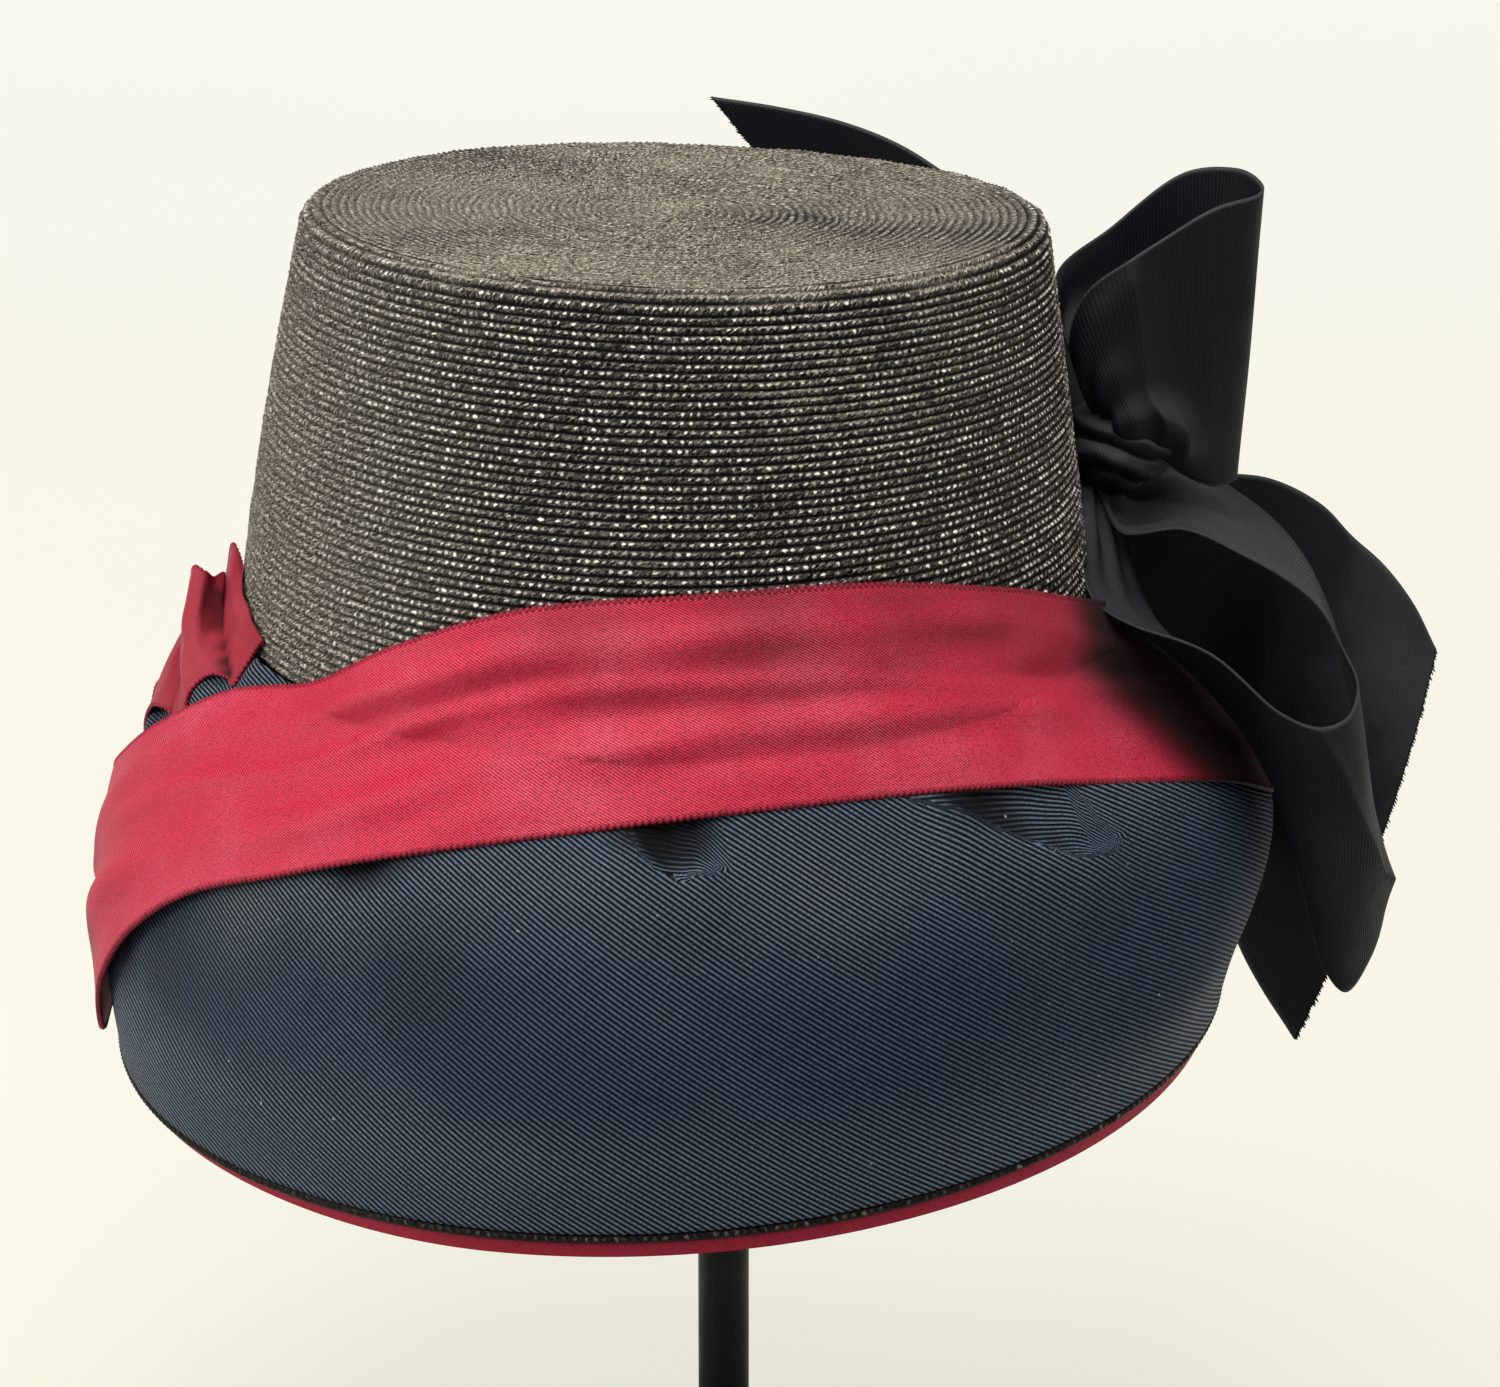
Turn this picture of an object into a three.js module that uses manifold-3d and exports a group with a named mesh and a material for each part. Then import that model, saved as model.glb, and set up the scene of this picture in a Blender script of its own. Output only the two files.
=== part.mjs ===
// A straw bonnet with a silk-covered bell brim, a wide ribbon, a gathered frill and a bow, on a post stand.
// Millimetres, +Z up. The origin is the centre of the stand's underside, and the bonnet's front faces -Y.
import * as THREE from "three";
import { mergeVertices } from "three/addons/utils/BufferGeometryUtils.js";
import Module from "manifold-3d";

const wasm = await Module();
wasm.setup();

const { clamp, degToRad, lerp, smoothstep } = THREE.MathUtils;

// Driving sizes. Half widths are measured from the crown's axis, heights from the crown's base.
const CLEARANCE = 0.3; // gap between pieces that touch
const SEAT_HEIGHT = 240; // the crown's base above the stand's underside
const POST_OFFSET = 12; // the post stands this far to the right of the crown's axis

const STAND = { baseRadius: 80, baseHeight: 9, baseBevel: 2.5, postRadius: 5.75 };
const CAP = { radius: 45, height: 12, domeRadius: 120 };

const STRAW = 2; // thickness of the sewn straw
const CLOTH = 1; // thickness of the silk, the ribbons and the lining

const CROWN_BASE = { across: 92.5, deep: 100 };
const CROWN_TIP = { across: 81.5, deep: 87, height: 87, shoulder: 4.5 };
const TIP_SLOPE = { back: 0.066, right: 0.035 }; // how fast the tip falls to the back and to the right
const CROWN_PLACES = [0, 0.5, 1, 1.5, 2, 2.33, 2.67, 3]; // facet levels: tip to 1, shoulder to 2, base at 3
const CROWN_COLUMNS = 48;

const RIM = { across: 122, deepFront: 138, deepBack: 124, depth: 90, napeDepth: 52, roll: 6 };
const RIGHT_SWELL = { out: 13, narrow: 6, level: 0.85 }; // the bell's right side is fuller halfway down
const FLARE = { side: 2.6, front: 2.0 }; // how early the bell opens, larger for earlier
const NAPE = { from: degToRad(98), to: degToRad(172) }; // turn over which the rim rises to the nape
const BELL_SHARES = [0, 0.08, 0.2, 0.36, 0.6, 1]; // levels of the straw brim and its lining, top to rim
const BELL_COLUMNS = 48;
const BRIM_RISE = 0.5; // the brim's inner edge is turned up under the crown
const COVER_HEM = 2.6; // straw edge left bare below the silk
const LINING_HEM = 1.8; // lining showing below the straw edge

const COVER_EASE = { full: 1.6, top: 18, rim: 22 }; // the silk's fullness, and how soon it comes and goes
const COVER_FACETS = { round: 64, down: 8 };
const FRONT_DIMPLES = table("angle depth size", [
  [6, 24, 11],
  [52, 30, 12],
]);
const PUFF = { height: 3.4, size: 6.5 };
const PUFFS = table("angle depth", [
  [-66, 4],
  [-82, 16],
  [-92, 27],
]);
const BACK_PUFFS = { count: 11, pitch: -13, depth: 27 }; // the row goes on round the back
for (let i = 0; i < BACK_PUFFS.count; i += 1) {
  PUFFS.push({ angle: PUFFS.at(-1).angle + BACK_PUFFS.pitch, depth: BACK_PUFFS.depth });
}

// The ribbon across the front: where each section's two edges lie, and how far the ribbon stands off there.
const FRONT_RIBBON = table("topAngle topHeight lowAngle lowHeight topOff lowOff", [
  [88, -1, 86, -41, 3.6, 3.8],
  [76, 7, 72, -28, 2.6, 3.6],
  [62, 15.5, 55, -18, 1.4, 3.0],
  [48, 23.5, 41, -12, 1.2, 3.4],
  [27, 31, 24, -8.6, 1.2, 3.4],
  [4, 31.5, 4, -9, 1.2, 3.4],
  [-18, 26, -15, -13.5, 1.2, 3.4],
  [-36, 14.5, -31, -20.5, 1.2, 3.4],
  [-50, 5.5, -44, -29, 1.6, 3.6],
  [-64, -0.5, -56, -39, 4.6, 4.2],
  [-76, -13, -66, -54, 6.2, 5.0],
  [-86, -27, -74, -72, 6.4, 5.4],
  [-96, -38, -83, -92, 6.0, 3.0],
  [-106, -46, -95, -93, 4.6, 2.6],
  [-118, -50, -110, -85, 3.4, 2.6],
]);

// The gathered frill round the back, between two angles of the same turn.
const FRILL = { from: -72, to: -250, crest: -96.5, pitch: 13 };
const FRILL_SEAM = { at: 0.4, off: 2, fold: 0.15, lowFold: 0.6 }; // where it is sewn down, and its folds
const FRILL_EDGES = table("angle top low topOff lowOff fold", [
  [-72, 1, -5, 1.0, 1.8, 0],
  [-80, 2, -12, 0.4, 1.4, 0.6],
  [-89, 3, -19, 2.0, 1.0, 2],
  [-96, 3, -24, 5.0, 0.8, 4],
  [-109, 1, -28, 5.5, 2.6, 4],
  [-150, 4, -30, 5.0, 3.6, 4],
  [-210, 4, -30, 5.0, 3.6, 4],
  [-240, 3, -26, 4.0, 3.4, 3],
  [-250, 2, -21, 2.0, 1.6, 1],
]);

// The bow. Each row is a section of the ribbon: a point of one selvage, and the way from it to the other.
const KNOT = { x: 98.5, y: 8, z: 30, across: 11.5, deep: 15, tall: 12, creases: 7, crease: 0.07 };
const UPPER_LOOP = table("x y z dx dy dz", [
  [97, 6, 36, 4, -2, -6],
  [89.5, 2, 50, 11, -6, -14],
  [89, 0, 60, 11, -6, -23],
  [93, 0, 69, 9, -6, -33],
  [98, 2, 75, 5, -5, -41],
  [106, 5, 79, 4, -1, -48],
  [118, 9, 85, 1, -1, -60],
  [127.5, 15, 86.5, -3, 0, -64],
  [129, 23, 87, -4, -1, -65],
  [125, 33, 88, -3, -3, -64],
  [114, 38, 86, 0, -6, -60],
  [98, 37, 74, 5, -9, -46],
  [88, 35, 64, 11, -12, -32],
  [89, 26, 52, 10, -8, -17],
  [96, 15, 38, 4, -2, -5],
]);
const LOWER_LOOP = table("x y z dx dy dz", [
  [99, 4, 21, 4, 8, 5],
  [103, -7, 17, 7, 30, 3],
  [112, -12.5, 19.5, 8, 57, -5],
  [123, -18, 15.5, 11, 62, -9],
  [132, -20, 10.5, 11, 60, -14],
  [140, -22, 3.5, 10, 56, -22],
  [146, -26, -5, 9, 44, -38],
  [147, -33, -10, 9, 26, -52],
  [143, -41, -13, 9, 14, -60],
  [136, -46, -13, 10, 10, -65],
  [128, -48, -9, 12, 11, -60],
  [117, -44, 0.5, 18, 12, -43],
  [102.5, -34, 4.5, 20, 13, -20],
  [94, -21, 7, 13, 11, -9],
  [92.5, -7, 16, 8, 6, -6],
  [96, 4, 26, 2, 3, -2],
]);
const TOP_TAIL = table("x y z dx dy dz", [
  [98, 14, 33, 1, 2, -4],
  [91, 37, 44, 4, 2, -22],
  [81, 57, 60, 7, 3, -44],
  [69, 75, 72, 9, 3, -58],
  [56, 88, 79, 12, 2, -62],
  [41, 98, 83.5, 24, -5, -64],
  [26, 104, 86, 38, -10, -64],
  [11, 108, 87.5, 52, -13, -63],
]);
const SIDE_TAIL = table("x y z dx dy dz cup", [
  [104, 12, 27, 0, 4, -5, 0],
  [109, 38, 17, -6, 4, -26, 0],
  [125.5, 55, 12, -6, 6, -52, 2],
  [138, 60, 9, -15, 3, -65, 4],
  [149, 63, 2.5, -24, -3, -72, 7],
  [157, 65, -6, -26, -7, -78, 10],
  [165, 64, -13, -27, -11, -84, 12],
  [172, 62, -22, -29, -15, -88, 14],
  [177, 60, -32, -31, -20, -88, 15],
]);

/** Rows of named values from a list of column names and lists of numbers. */
function table(columns, rows) {
  const names = columns.split(" ");
  return rows.map((row) => Object.fromEntries(names.map((name, i) => [name, row[i]])));
}

/** Point on a level ellipse, at an angle that turns from the front to the right. */
function onEllipse(angle, across, deep, height) {
  return new THREE.Vector3(across * Math.sin(angle), -deep * Math.cos(angle), height);
}

/** Point of the crown, from the tip's centre at 0, the shoulder from 1 to 2, down to the base at 3. */
function crownPoint(angle, place, inset) {
  const turn = (clamp(place - 1, 0, 1) * Math.PI) / 2;
  const down = Math.max(place - 2, 0);
  const pull = inset + CROWN_TIP.shoulder * (1 - Math.sin(turn));
  const across = lerp(CROWN_TIP.across, CROWN_BASE.across, down) - pull;
  const deep = lerp(CROWN_TIP.deep, CROWN_BASE.deep, down) - pull;
  const share = Math.min(place, 1);
  const point = onEllipse(angle, share * across, share * deep, 0);
  const fall = TIP_SLOPE.back * point.y + TIP_SLOPE.right * point.x;
  const height = CROWN_TIP.height - inset - CROWN_TIP.shoulder * (1 - Math.cos(turn));
  point.z = height * (1 - fall / CROWN_TIP.height) * (1 - down);
  return point;
}

/** Point of the bell that the brim's silk follows, at a depth below the crown's base. */
function bellPoint(angle, depth) {
  const left = 1 - Math.min(depth / RIM.depth, 1);
  const rimDeep = Math.cos(angle) > 0 ? RIM.deepFront : RIM.deepBack;
  const level = Math.sin(Math.PI * clamp(1 - left, 0, 1) ** RIGHT_SWELL.level) ** 2;
  const swell = RIGHT_SWELL.out * Math.max(Math.sin(angle), 0) ** RIGHT_SWELL.narrow * level;
  const across = lerp(RIM.across, CROWN_BASE.across, left ** FLARE.side) + swell;
  const deep = lerp(rimDeep, CROWN_BASE.deep, left ** FLARE.front);
  return onEllipse(angle, across, deep, -depth);
}

/** Depth of the straw rim, which rises to the nape at the back. */
function rimDepth(angle) {
  const turn = Math.abs(Math.atan2(Math.sin(angle), Math.cos(angle)));
  const front = RIM.depth - RIM.roll * Math.sin(angle);
  return lerp(front, RIM.napeDepth, smoothstep(turn, NAPE.from, NAPE.to));
}

/** How far the silk stands out from the bell: its ease, dimpled at the front, and the puffs at the back. */
function coverFullness(angle, depth) {
  const here = bellPoint(angle, depth);
  const rise = smoothstep(depth, 0, COVER_EASE.top);
  const fall = smoothstep(rimDepth(angle) - depth, 0, COVER_EASE.rim);
  let ease = COVER_EASE.full * rise * fall;
  for (const dimple of FRONT_DIMPLES) {
    const away = here.distanceTo(bellPoint(degToRad(dimple.angle), dimple.depth)) / dimple.size;
    ease *= 1 - Math.exp(-away * away);
  }
  let puffed = 0;
  for (const puff of PUFFS) {
    const away = here.distanceTo(bellPoint(degToRad(puff.angle), puff.depth)) / PUFF.size;
    puffed = Math.max(puffed, PUFF.height * Math.exp(-away * away));
  }
  return Math.max(ease, puffed);
}

/** Face moved along its own normal, outwards on the bonnet's shells for a positive distance. */
function offset(face, distance) {
  const reach = 1e-3;
  return (u, v) => {
    const along = face(u + reach, v).sub(face(u - reach, v));
    const across = face(u, v + reach).sub(face(u, v - reach));
    const far = typeof distance === "function" ? distance(u, v) : distance;
    return face(u, v).addScaledVector(across.cross(along).normalize(), far);
  };
}

/** Closed wall between two faces on one grid, joined along its free edges, with its faces pointing out. */
function wall({ columns, rows, outer, inner, round = false, pole = false }) {
  const stations = round ? columns : columns + 1;
  const points = [];
  for (const face of [outer, inner]) {
    for (let row = 0; row <= rows; row += 1) {
      for (let column = 0; column < stations; column += 1) {
        points.push(face(column / columns, row / rows));
      }
    }
  }
  const at = (side, row, column) => (side * (rows + 1) + row) * stations + (column % stations);
  const triangles = [];
  const quad = (a, b, c, d) => triangles.push([a, b, c], [a, c, d]);
  for (let column = 0; column < columns; column += 1) {
    const next = column + 1;
    for (let row = 0; row < rows; row += 1) {
      const below = row + 1;
      if (pole && row === 0) {
        triangles.push([at(0, 0, 0), at(0, 1, next), at(0, 1, column)]);
        triangles.push([at(1, 0, 0), at(1, 1, column), at(1, 1, next)]);
      } else {
        quad(at(0, row, column), at(0, row, next), at(0, below, next), at(0, below, column));
        quad(at(1, row, column), at(1, below, column), at(1, below, next), at(1, row, next));
      }
    }
    if (!pole) {
      quad(at(1, 0, column), at(1, 0, next), at(0, 0, next), at(0, 0, column));
    }
    quad(at(0, rows, column), at(0, rows, next), at(1, rows, next), at(1, rows, column));
  }
  if (!round) {
    for (let row = 0; row < rows; row += 1) {
      const below = row + 1;
      quad(at(0, row, 0), at(0, below, 0), at(1, below, 0), at(1, row, 0));
      quad(at(1, row, columns), at(1, below, columns), at(0, below, columns), at(0, row, columns));
    }
  }
  return facingOut(points, triangles);
}

/** Geometry of a closed body, with its triangles turned round where they enclose a negative volume. */
function facingOut(points, triangles) {
  let volume = 0;
  for (const [a, b, c] of triangles) {
    volume += points[a].dot(new THREE.Vector3().crossVectors(points[b], points[c]));
  }
  const ordered = volume < 0 ? triangles.map(([a, b, c]) => [a, c, b]) : triangles;
  const geometry = new THREE.BufferGeometry().setFromPoints(points);
  return geometry.setIndex(ordered.flat());
}

/** Solid of a closed geometry, for joining and cutting. */
function solidOf(geometry) {
  const bare = new THREE.BufferGeometry().setAttribute("position", geometry.getAttribute("position"));
  bare.setIndex(geometry.index);
  const merged = mergeVertices(bare, 1e-4);
  const triVerts = new Uint32Array(merged.index.array);
  const vertProperties = new Float32Array(merged.getAttribute("position").array);
  return new wasm.Manifold(new wasm.Mesh({ numProp: 3, vertProperties, triVerts }));
}

/** Geometry with other closed geometries cut away from it. */
function cutBy(geometry, ...tools) {
  let solid = solidOf(geometry);
  for (const tool of tools) {
    solid = solid.subtract(solidOf(tool));
  }
  const mesh = solid.getMesh();
  const cut = new THREE.BufferGeometry();
  cut.setAttribute("position", new THREE.BufferAttribute(new Float32Array(mesh.vertProperties), 3));
  return cut.setIndex(new THREE.BufferAttribute(new Uint32Array(mesh.triVerts), 1));
}

/** Straw crown: an open cup with a flat, slightly tilted tip. */
function crownGeometry() {
  const rows = CROWN_PLACES.length - 1;
  const face = (inset) => (u, v) => crownPoint(u * 2 * Math.PI, CROWN_PLACES[Math.round(v * rows)], inset);
  return wall({
    columns: CROWN_COLUMNS,
    rows,
    outer: face(0),
    inner: face(STRAW),
    round: true,
    pole: true,
  });
}

/** Solid block of the crown's outer form, grown by a clearance, that trims what sits against it. */
function crownBlock(grow) {
  const rows = CROWN_PLACES.length - 1;
  const points = [crownPoint(0, 0, -grow), new THREE.Vector3(0, 0, 0)];
  for (const place of CROWN_PLACES.slice(1)) {
    for (let column = 0; column < CROWN_COLUMNS; column += 1) {
      points.push(crownPoint((column / CROWN_COLUMNS) * 2 * Math.PI, place, -grow));
    }
  }
  const at = (row, column) => 2 + (row - 1) * CROWN_COLUMNS + (column % CROWN_COLUMNS);
  const triangles = [];
  for (let column = 0; column < CROWN_COLUMNS; column += 1) {
    const next = column + 1;
    triangles.push([0, at(1, column), at(1, next)], [1, at(rows, next), at(rows, column)]);
    for (let row = 1; row < rows; row += 1) {
      triangles.push([at(row, column), at(row + 1, column), at(row + 1, next)]);
      triangles.push([at(row, column), at(row + 1, next), at(row, next)]);
    }
  }
  return facingOut(points, triangles);
}

/** Shell that follows the bell, a distance inside the silk's line, with a hem past the straw rim. */
function bellShell(inset, thickness, hem) {
  const rows = BELL_SHARES.length - 1;
  const face = (u, v) => {
    const angle = u * 2 * Math.PI;
    const level = clamp(Math.floor(v * rows), 0, rows - 1);
    const share = lerp(BELL_SHARES[level], BELL_SHARES[level + 1], v * rows - level);
    const depth = lerp(-BRIM_RISE, rimDepth(angle), share);
    return bellPoint(angle, depth + hem * smoothstep(share, 0.9, 1));
  };
  const outer = offset(face, -inset);
  const inner = offset(face, -inset - thickness);
  return wall({ columns: BELL_COLUMNS, rows, outer, inner, round: true });
}

/** Silk drawn over the brim. */
function coverGeometry() {
  const face = (u, v) => {
    const angle = u * 2 * Math.PI;
    return bellPoint(angle, lerp(CLEARANCE, rimDepth(angle) - COVER_HEM, v));
  };
  const fullness = (u, v) => {
    const angle = u * 2 * Math.PI;
    return coverFullness(angle, lerp(CLEARANCE, rimDepth(angle) - COVER_HEM, v));
  };
  return wall({
    columns: COVER_FACETS.round,
    rows: COVER_FACETS.down,
    outer: offset(face, fullness),
    inner: offset(face, (u, v) => fullness(u, v) - CLOTH),
    round: true,
  });
}

/** Point on the bonnet's outside at a height, above or below the crown's base, and a distance off it. */
function outsidePoint(angle, height, off) {
  const onCrown = crownPoint(angle, 3 - Math.max(height, 0) / CROWN_TIP.height, -off);
  const point = height > 0 ? onCrown : bellPoint(angle, -height);
  const reach = Math.hypot(point.x, point.y);
  const scale = height > 0 ? 1 : (reach + off) / reach;
  return new THREE.Vector3(point.x * scale, point.y * scale, height);
}

/** Value of a table's column at a place from 0, the first row, to 1, the last. */
function columnAt(rows, name, place) {
  const curve = new THREE.SplineCurve(rows.map((row, i) => new THREE.Vector2(i, row[name])));
  return curve.getPoint(clamp(place, 0, 1)).y;
}

/** Face of the front ribbon: it lies on the brim, and spans the corner between brim and crown. */
function frontRibbonFace(u, v) {
  const value = (name) => columnAt(FRONT_RIBBON, name, u);
  const topAngle = degToRad(value("topAngle"));
  const lowAngle = degToRad(value("lowAngle"));
  const top = outsidePoint(topAngle, value("topHeight"), value("topOff"));
  const low = outsidePoint(lowAngle, value("lowHeight"), value("lowOff"));
  const chord = top.clone().lerp(low, v);
  const skin = outsidePoint(lerp(topAngle, lowAngle, v), chord.z, lerp(value("topOff"), value("lowOff"), v));
  const reach = (point) => Math.hypot(point.x, point.y);
  return reach(chord) > reach(skin) ? chord : skin;
}

/** Face of the frill: sewn down along one line, with both edges free and folded. */
function frillFace(u, v) {
  const turn = lerp(FRILL.from, FRILL.to, u);
  const last = FRILL_EDGES.length - 2;
  const row = clamp(FRILL_EDGES.findLastIndex((edge) => edge.angle >= turn), 0, last);
  const [first, second] = FRILL_EDGES.slice(row, row + 2);
  const share = clamp((turn - first.angle) / (second.angle - first.angle), 0, 1);
  const value = (name) => lerp(first[name], second[name], share);
  const fold = 0.5 + 0.5 * Math.cos(((turn - FRILL.crest) / FRILL.pitch) * 2 * Math.PI);
  const above = clamp((FRILL_SEAM.at - v) / FRILL_SEAM.at, 0, 1) ** 1.5;
  const under = clamp((v - FRILL_SEAM.at) / (1 - FRILL_SEAM.at), 0, 1) ** 1.5;
  const height = lerp(value("top"), value("low"), v) + ((above - under) * fold * value("fold")) / 2;
  const folded = fold * value("fold") * Math.max(above, FRILL_SEAM.lowFold * under, FRILL_SEAM.fold);
  const off = FRILL_SEAM.off + above * value("topOff") + under * value("lowOff") + folded;
  return outsidePoint(degToRad(turn), height, off);
}

/** Face of a bow ribbon, ruled between its two selvages. */
function bowFace(rows) {
  const selvage = (far) =>
    new THREE.CatmullRomCurve3(
      rows.map((row) => new THREE.Vector3(row.x + far * row.dx, row.y + far * row.dy, row.z + far * row.dz)),
    );
  const near = selvage(0);
  const other = selvage(1);
  return (u, v) => {
    const place = clamp(u, 0, 1);
    const width = other.getPoint(place).sub(near.getPoint(place));
    const bulge = width.clone().cross(near.getTangent(place)).normalize();
    const cup = rows[0].cup === undefined ? 0 : columnAt(rows, "cup", place);
    return near.getPoint(place).addScaledVector(width, v).addScaledVector(bulge, 4 * cup * v * (1 - v));
  };
}

/** Wall of cloth with a face through its middle. */
function clothGeometry(face, columns, rows) {
  const outer = offset(face, CLOTH / 2);
  const inner = offset(face, -CLOTH / 2);
  return wall({ columns, rows, outer, inner });
}

/** Creased knot of the bow, grown by a clearance where it trims the ribbons that come out of it. */
function knotGeometry(grow) {
  const geometry = new THREE.SphereGeometry(1, 16, 10);
  const points = geometry.getAttribute("position");
  const point = new THREE.Vector3();
  for (let i = 0; i < points.count; i += 1) {
    point.fromBufferAttribute(points, i);
    const round = Math.atan2(point.z, point.x);
    const size = 1 - KNOT.crease * (0.5 - 0.5 * Math.cos(round * KNOT.creases)) * (1 - point.y * point.y);
    points.setXYZ(
      i,
      KNOT.x + point.x * (KNOT.across * size + grow),
      KNOT.y + point.y * (KNOT.deep * size + grow),
      KNOT.z + point.z * (KNOT.tall * size + grow),
    );
  }
  return geometry;
}

/** Body turned about the post's axis from a profile of radius and height. */
function turnedGeometry(profile, segments) {
  const geometry = new THREE.LatheGeometry(profile, segments);
  return geometry.rotateX(Math.PI / 2);
}

/** Height of the stand's cap at its middle, so that its dome just clears the tilted tip above it. */
function capTop() {
  const tipInside = CROWN_TIP.height - STRAW - TIP_SLOPE.right * POST_OFFSET;
  const slope = Math.hypot(TIP_SLOPE.back, TIP_SLOPE.right);
  return SEAT_HEIGHT + tipInside - CLEARANCE - (CAP.domeRadius * slope * slope) / 2;
}

/** Flat round foot with a bevelled upper edge. */
function baseGeometry() {
  const { baseRadius, baseHeight, baseBevel } = STAND;
  const profile = [
    new THREE.Vector2(0, 0),
    new THREE.Vector2(baseRadius, 0),
    new THREE.Vector2(baseRadius, baseHeight - baseBevel),
    new THREE.Vector2(baseRadius - baseBevel, baseHeight),
    new THREE.Vector2(0, baseHeight),
  ];
  return turnedGeometry(profile, 40);
}

/** Straight round post from the foot to the cap. */
function postGeometry() {
  const bottom = STAND.baseHeight + CLEARANCE;
  const top = capTop() - CAP.height - CLEARANCE;
  const profile = [
    new THREE.Vector2(0, bottom),
    new THREE.Vector2(STAND.postRadius, bottom),
    new THREE.Vector2(STAND.postRadius, top),
    new THREE.Vector2(0, top),
  ];
  return turnedGeometry(profile, 20);
}

/** Domed cap that carries the crown's tip from inside. */
function capGeometry() {
  const top = capTop();
  const profile = [new THREE.Vector2(0, top - CAP.height), new THREE.Vector2(CAP.radius, top - CAP.height)];
  const steps = 4;
  for (let i = steps; i >= 0; i -= 1) {
    const radius = (CAP.radius * i) / steps;
    profile.push(new THREE.Vector2(radius, top - (radius * radius) / (2 * CAP.domeRadius)));
  }
  return turnedGeometry(profile, 36);
}

/** Named mesh with a material of its own. */
function piece(name, geometry, color, roughness, metalness = 0) {
  const mesh = new THREE.Mesh(geometry, new THREE.MeshStandardMaterial({ color, roughness, metalness }));
  mesh.name = name;
  return mesh;
}

const COLOURS = {
  straw: "#46403a",
  silk: "#233042",
  crimson: "#a5233c",
  lining: "#961937",
  bow: "#191c21",
  stand: "#141414",
};

const bonnet = new THREE.Group();
bonnet.position.set(-POST_OFFSET, 0, SEAT_HEIGHT);
const strawInset = CLOTH + CLEARANCE;
const liningInset = strawInset + STRAW + CLEARANCE;
bonnet.add(
  piece("crown", crownGeometry(), COLOURS.straw, 0.55),
  piece("brim", bellShell(strawInset, STRAW, 0), COLOURS.straw, 0.5),
  piece("brim_cover", coverGeometry(), COLOURS.silk, 0.6),
  piece("brim_lining", bellShell(liningInset, CLOTH, LINING_HEM), COLOURS.lining, 0.65),
  piece("front_ribbon", clothGeometry(frontRibbonFace, 46, 5), COLOURS.crimson, 0.6),
  piece("back_frill", clothGeometry(frillFace, 76, 4), COLOURS.crimson, 0.65),
);

const knotTool = knotGeometry(CLEARANCE);
const knot = cutBy(knotGeometry(0), crownBlock(CLEARANCE));
bonnet.add(piece("bow_knot", knot, COLOURS.bow, 0.6));
const bowPieces = [
  { name: "bow_upper_loop", rows: UPPER_LOOP, columns: 36 },
  { name: "bow_lower_loop", rows: LOWER_LOOP, columns: 42 },
  { name: "bow_top_tail", rows: TOP_TAIL, columns: 18 },
  { name: "bow_side_tail", rows: SIDE_TAIL, columns: 20 },
];
for (const { name, rows, columns } of bowPieces) {
  const ribbon = cutBy(clothGeometry(bowFace(rows), columns, 3), knotTool);
  bonnet.add(piece(name, ribbon, COLOURS.bow, 0.6));
}

const stand = new THREE.Group();
stand.add(
  piece("stand_base", baseGeometry(), COLOURS.stand, 0.45, 0.6),
  piece("stand_post", postGeometry(), COLOURS.stand, 0.45, 0.6),
  piece("stand_cap", capGeometry(), COLOURS.stand, 0.6),
);

const bonnetOnStand = new THREE.Group();
bonnetOnStand.add(bonnet, stand);

export default bonnetOnStand;
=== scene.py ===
"""Looks of a straw bonnet on a post stand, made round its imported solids.

Forms are worked out in the bonnet's own frame: millimetres from the centre of the crown's base, with the
front towards -Y and the bow towards +X. An angle of 0 is the front and grows towards the bow. A depth is
measured down from the crown's base. Points get their place in the part, in metres, where a mesh is made.
"""

import logging
import math
from dataclasses import dataclass, field, replace
from enum import Enum
from functools import partial
from typing import Callable, Optional, Sequence, Union

import bmesh
import bpy
import numpy as np
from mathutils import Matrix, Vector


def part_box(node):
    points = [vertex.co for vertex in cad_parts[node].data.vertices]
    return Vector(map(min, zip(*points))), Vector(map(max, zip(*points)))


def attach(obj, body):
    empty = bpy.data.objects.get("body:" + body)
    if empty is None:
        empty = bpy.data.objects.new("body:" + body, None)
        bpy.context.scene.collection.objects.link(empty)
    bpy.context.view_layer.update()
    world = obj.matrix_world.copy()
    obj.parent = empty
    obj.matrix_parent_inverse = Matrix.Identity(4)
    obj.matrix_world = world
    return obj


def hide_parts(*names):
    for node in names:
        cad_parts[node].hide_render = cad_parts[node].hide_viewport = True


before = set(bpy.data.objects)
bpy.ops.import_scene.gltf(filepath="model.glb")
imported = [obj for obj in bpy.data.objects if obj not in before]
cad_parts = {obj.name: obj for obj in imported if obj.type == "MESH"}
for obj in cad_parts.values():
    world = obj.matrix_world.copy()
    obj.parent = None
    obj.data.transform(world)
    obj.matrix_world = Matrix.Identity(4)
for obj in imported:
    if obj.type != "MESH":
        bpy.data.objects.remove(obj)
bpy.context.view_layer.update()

LOG = logging.getLogger("bonnet")
Array = np.ndarray
Face = Callable[[Array, Array], Array]
Chart = Callable[[Array, Array, Array], Array]
Table = Sequence[Sequence[float]]
Socket = bpy.types.NodeSocket
Value = Union[Socket, float]
Amount = Union[Array, float]
Colour = tuple[float, float, float, float]
Shade = Union[Socket, Colour]
Place = tuple[float, float, float]

METRE = 0.001
PATTERN_MAP = "pattern"
WELD_GAP = 1e-7
TWILL_PITCH = 0.62
RIPPLE_WAVES = 7
OTHER_CELL = 57.0
CORD_SAMPLES = 600
CORD_SIDES = 6


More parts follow.
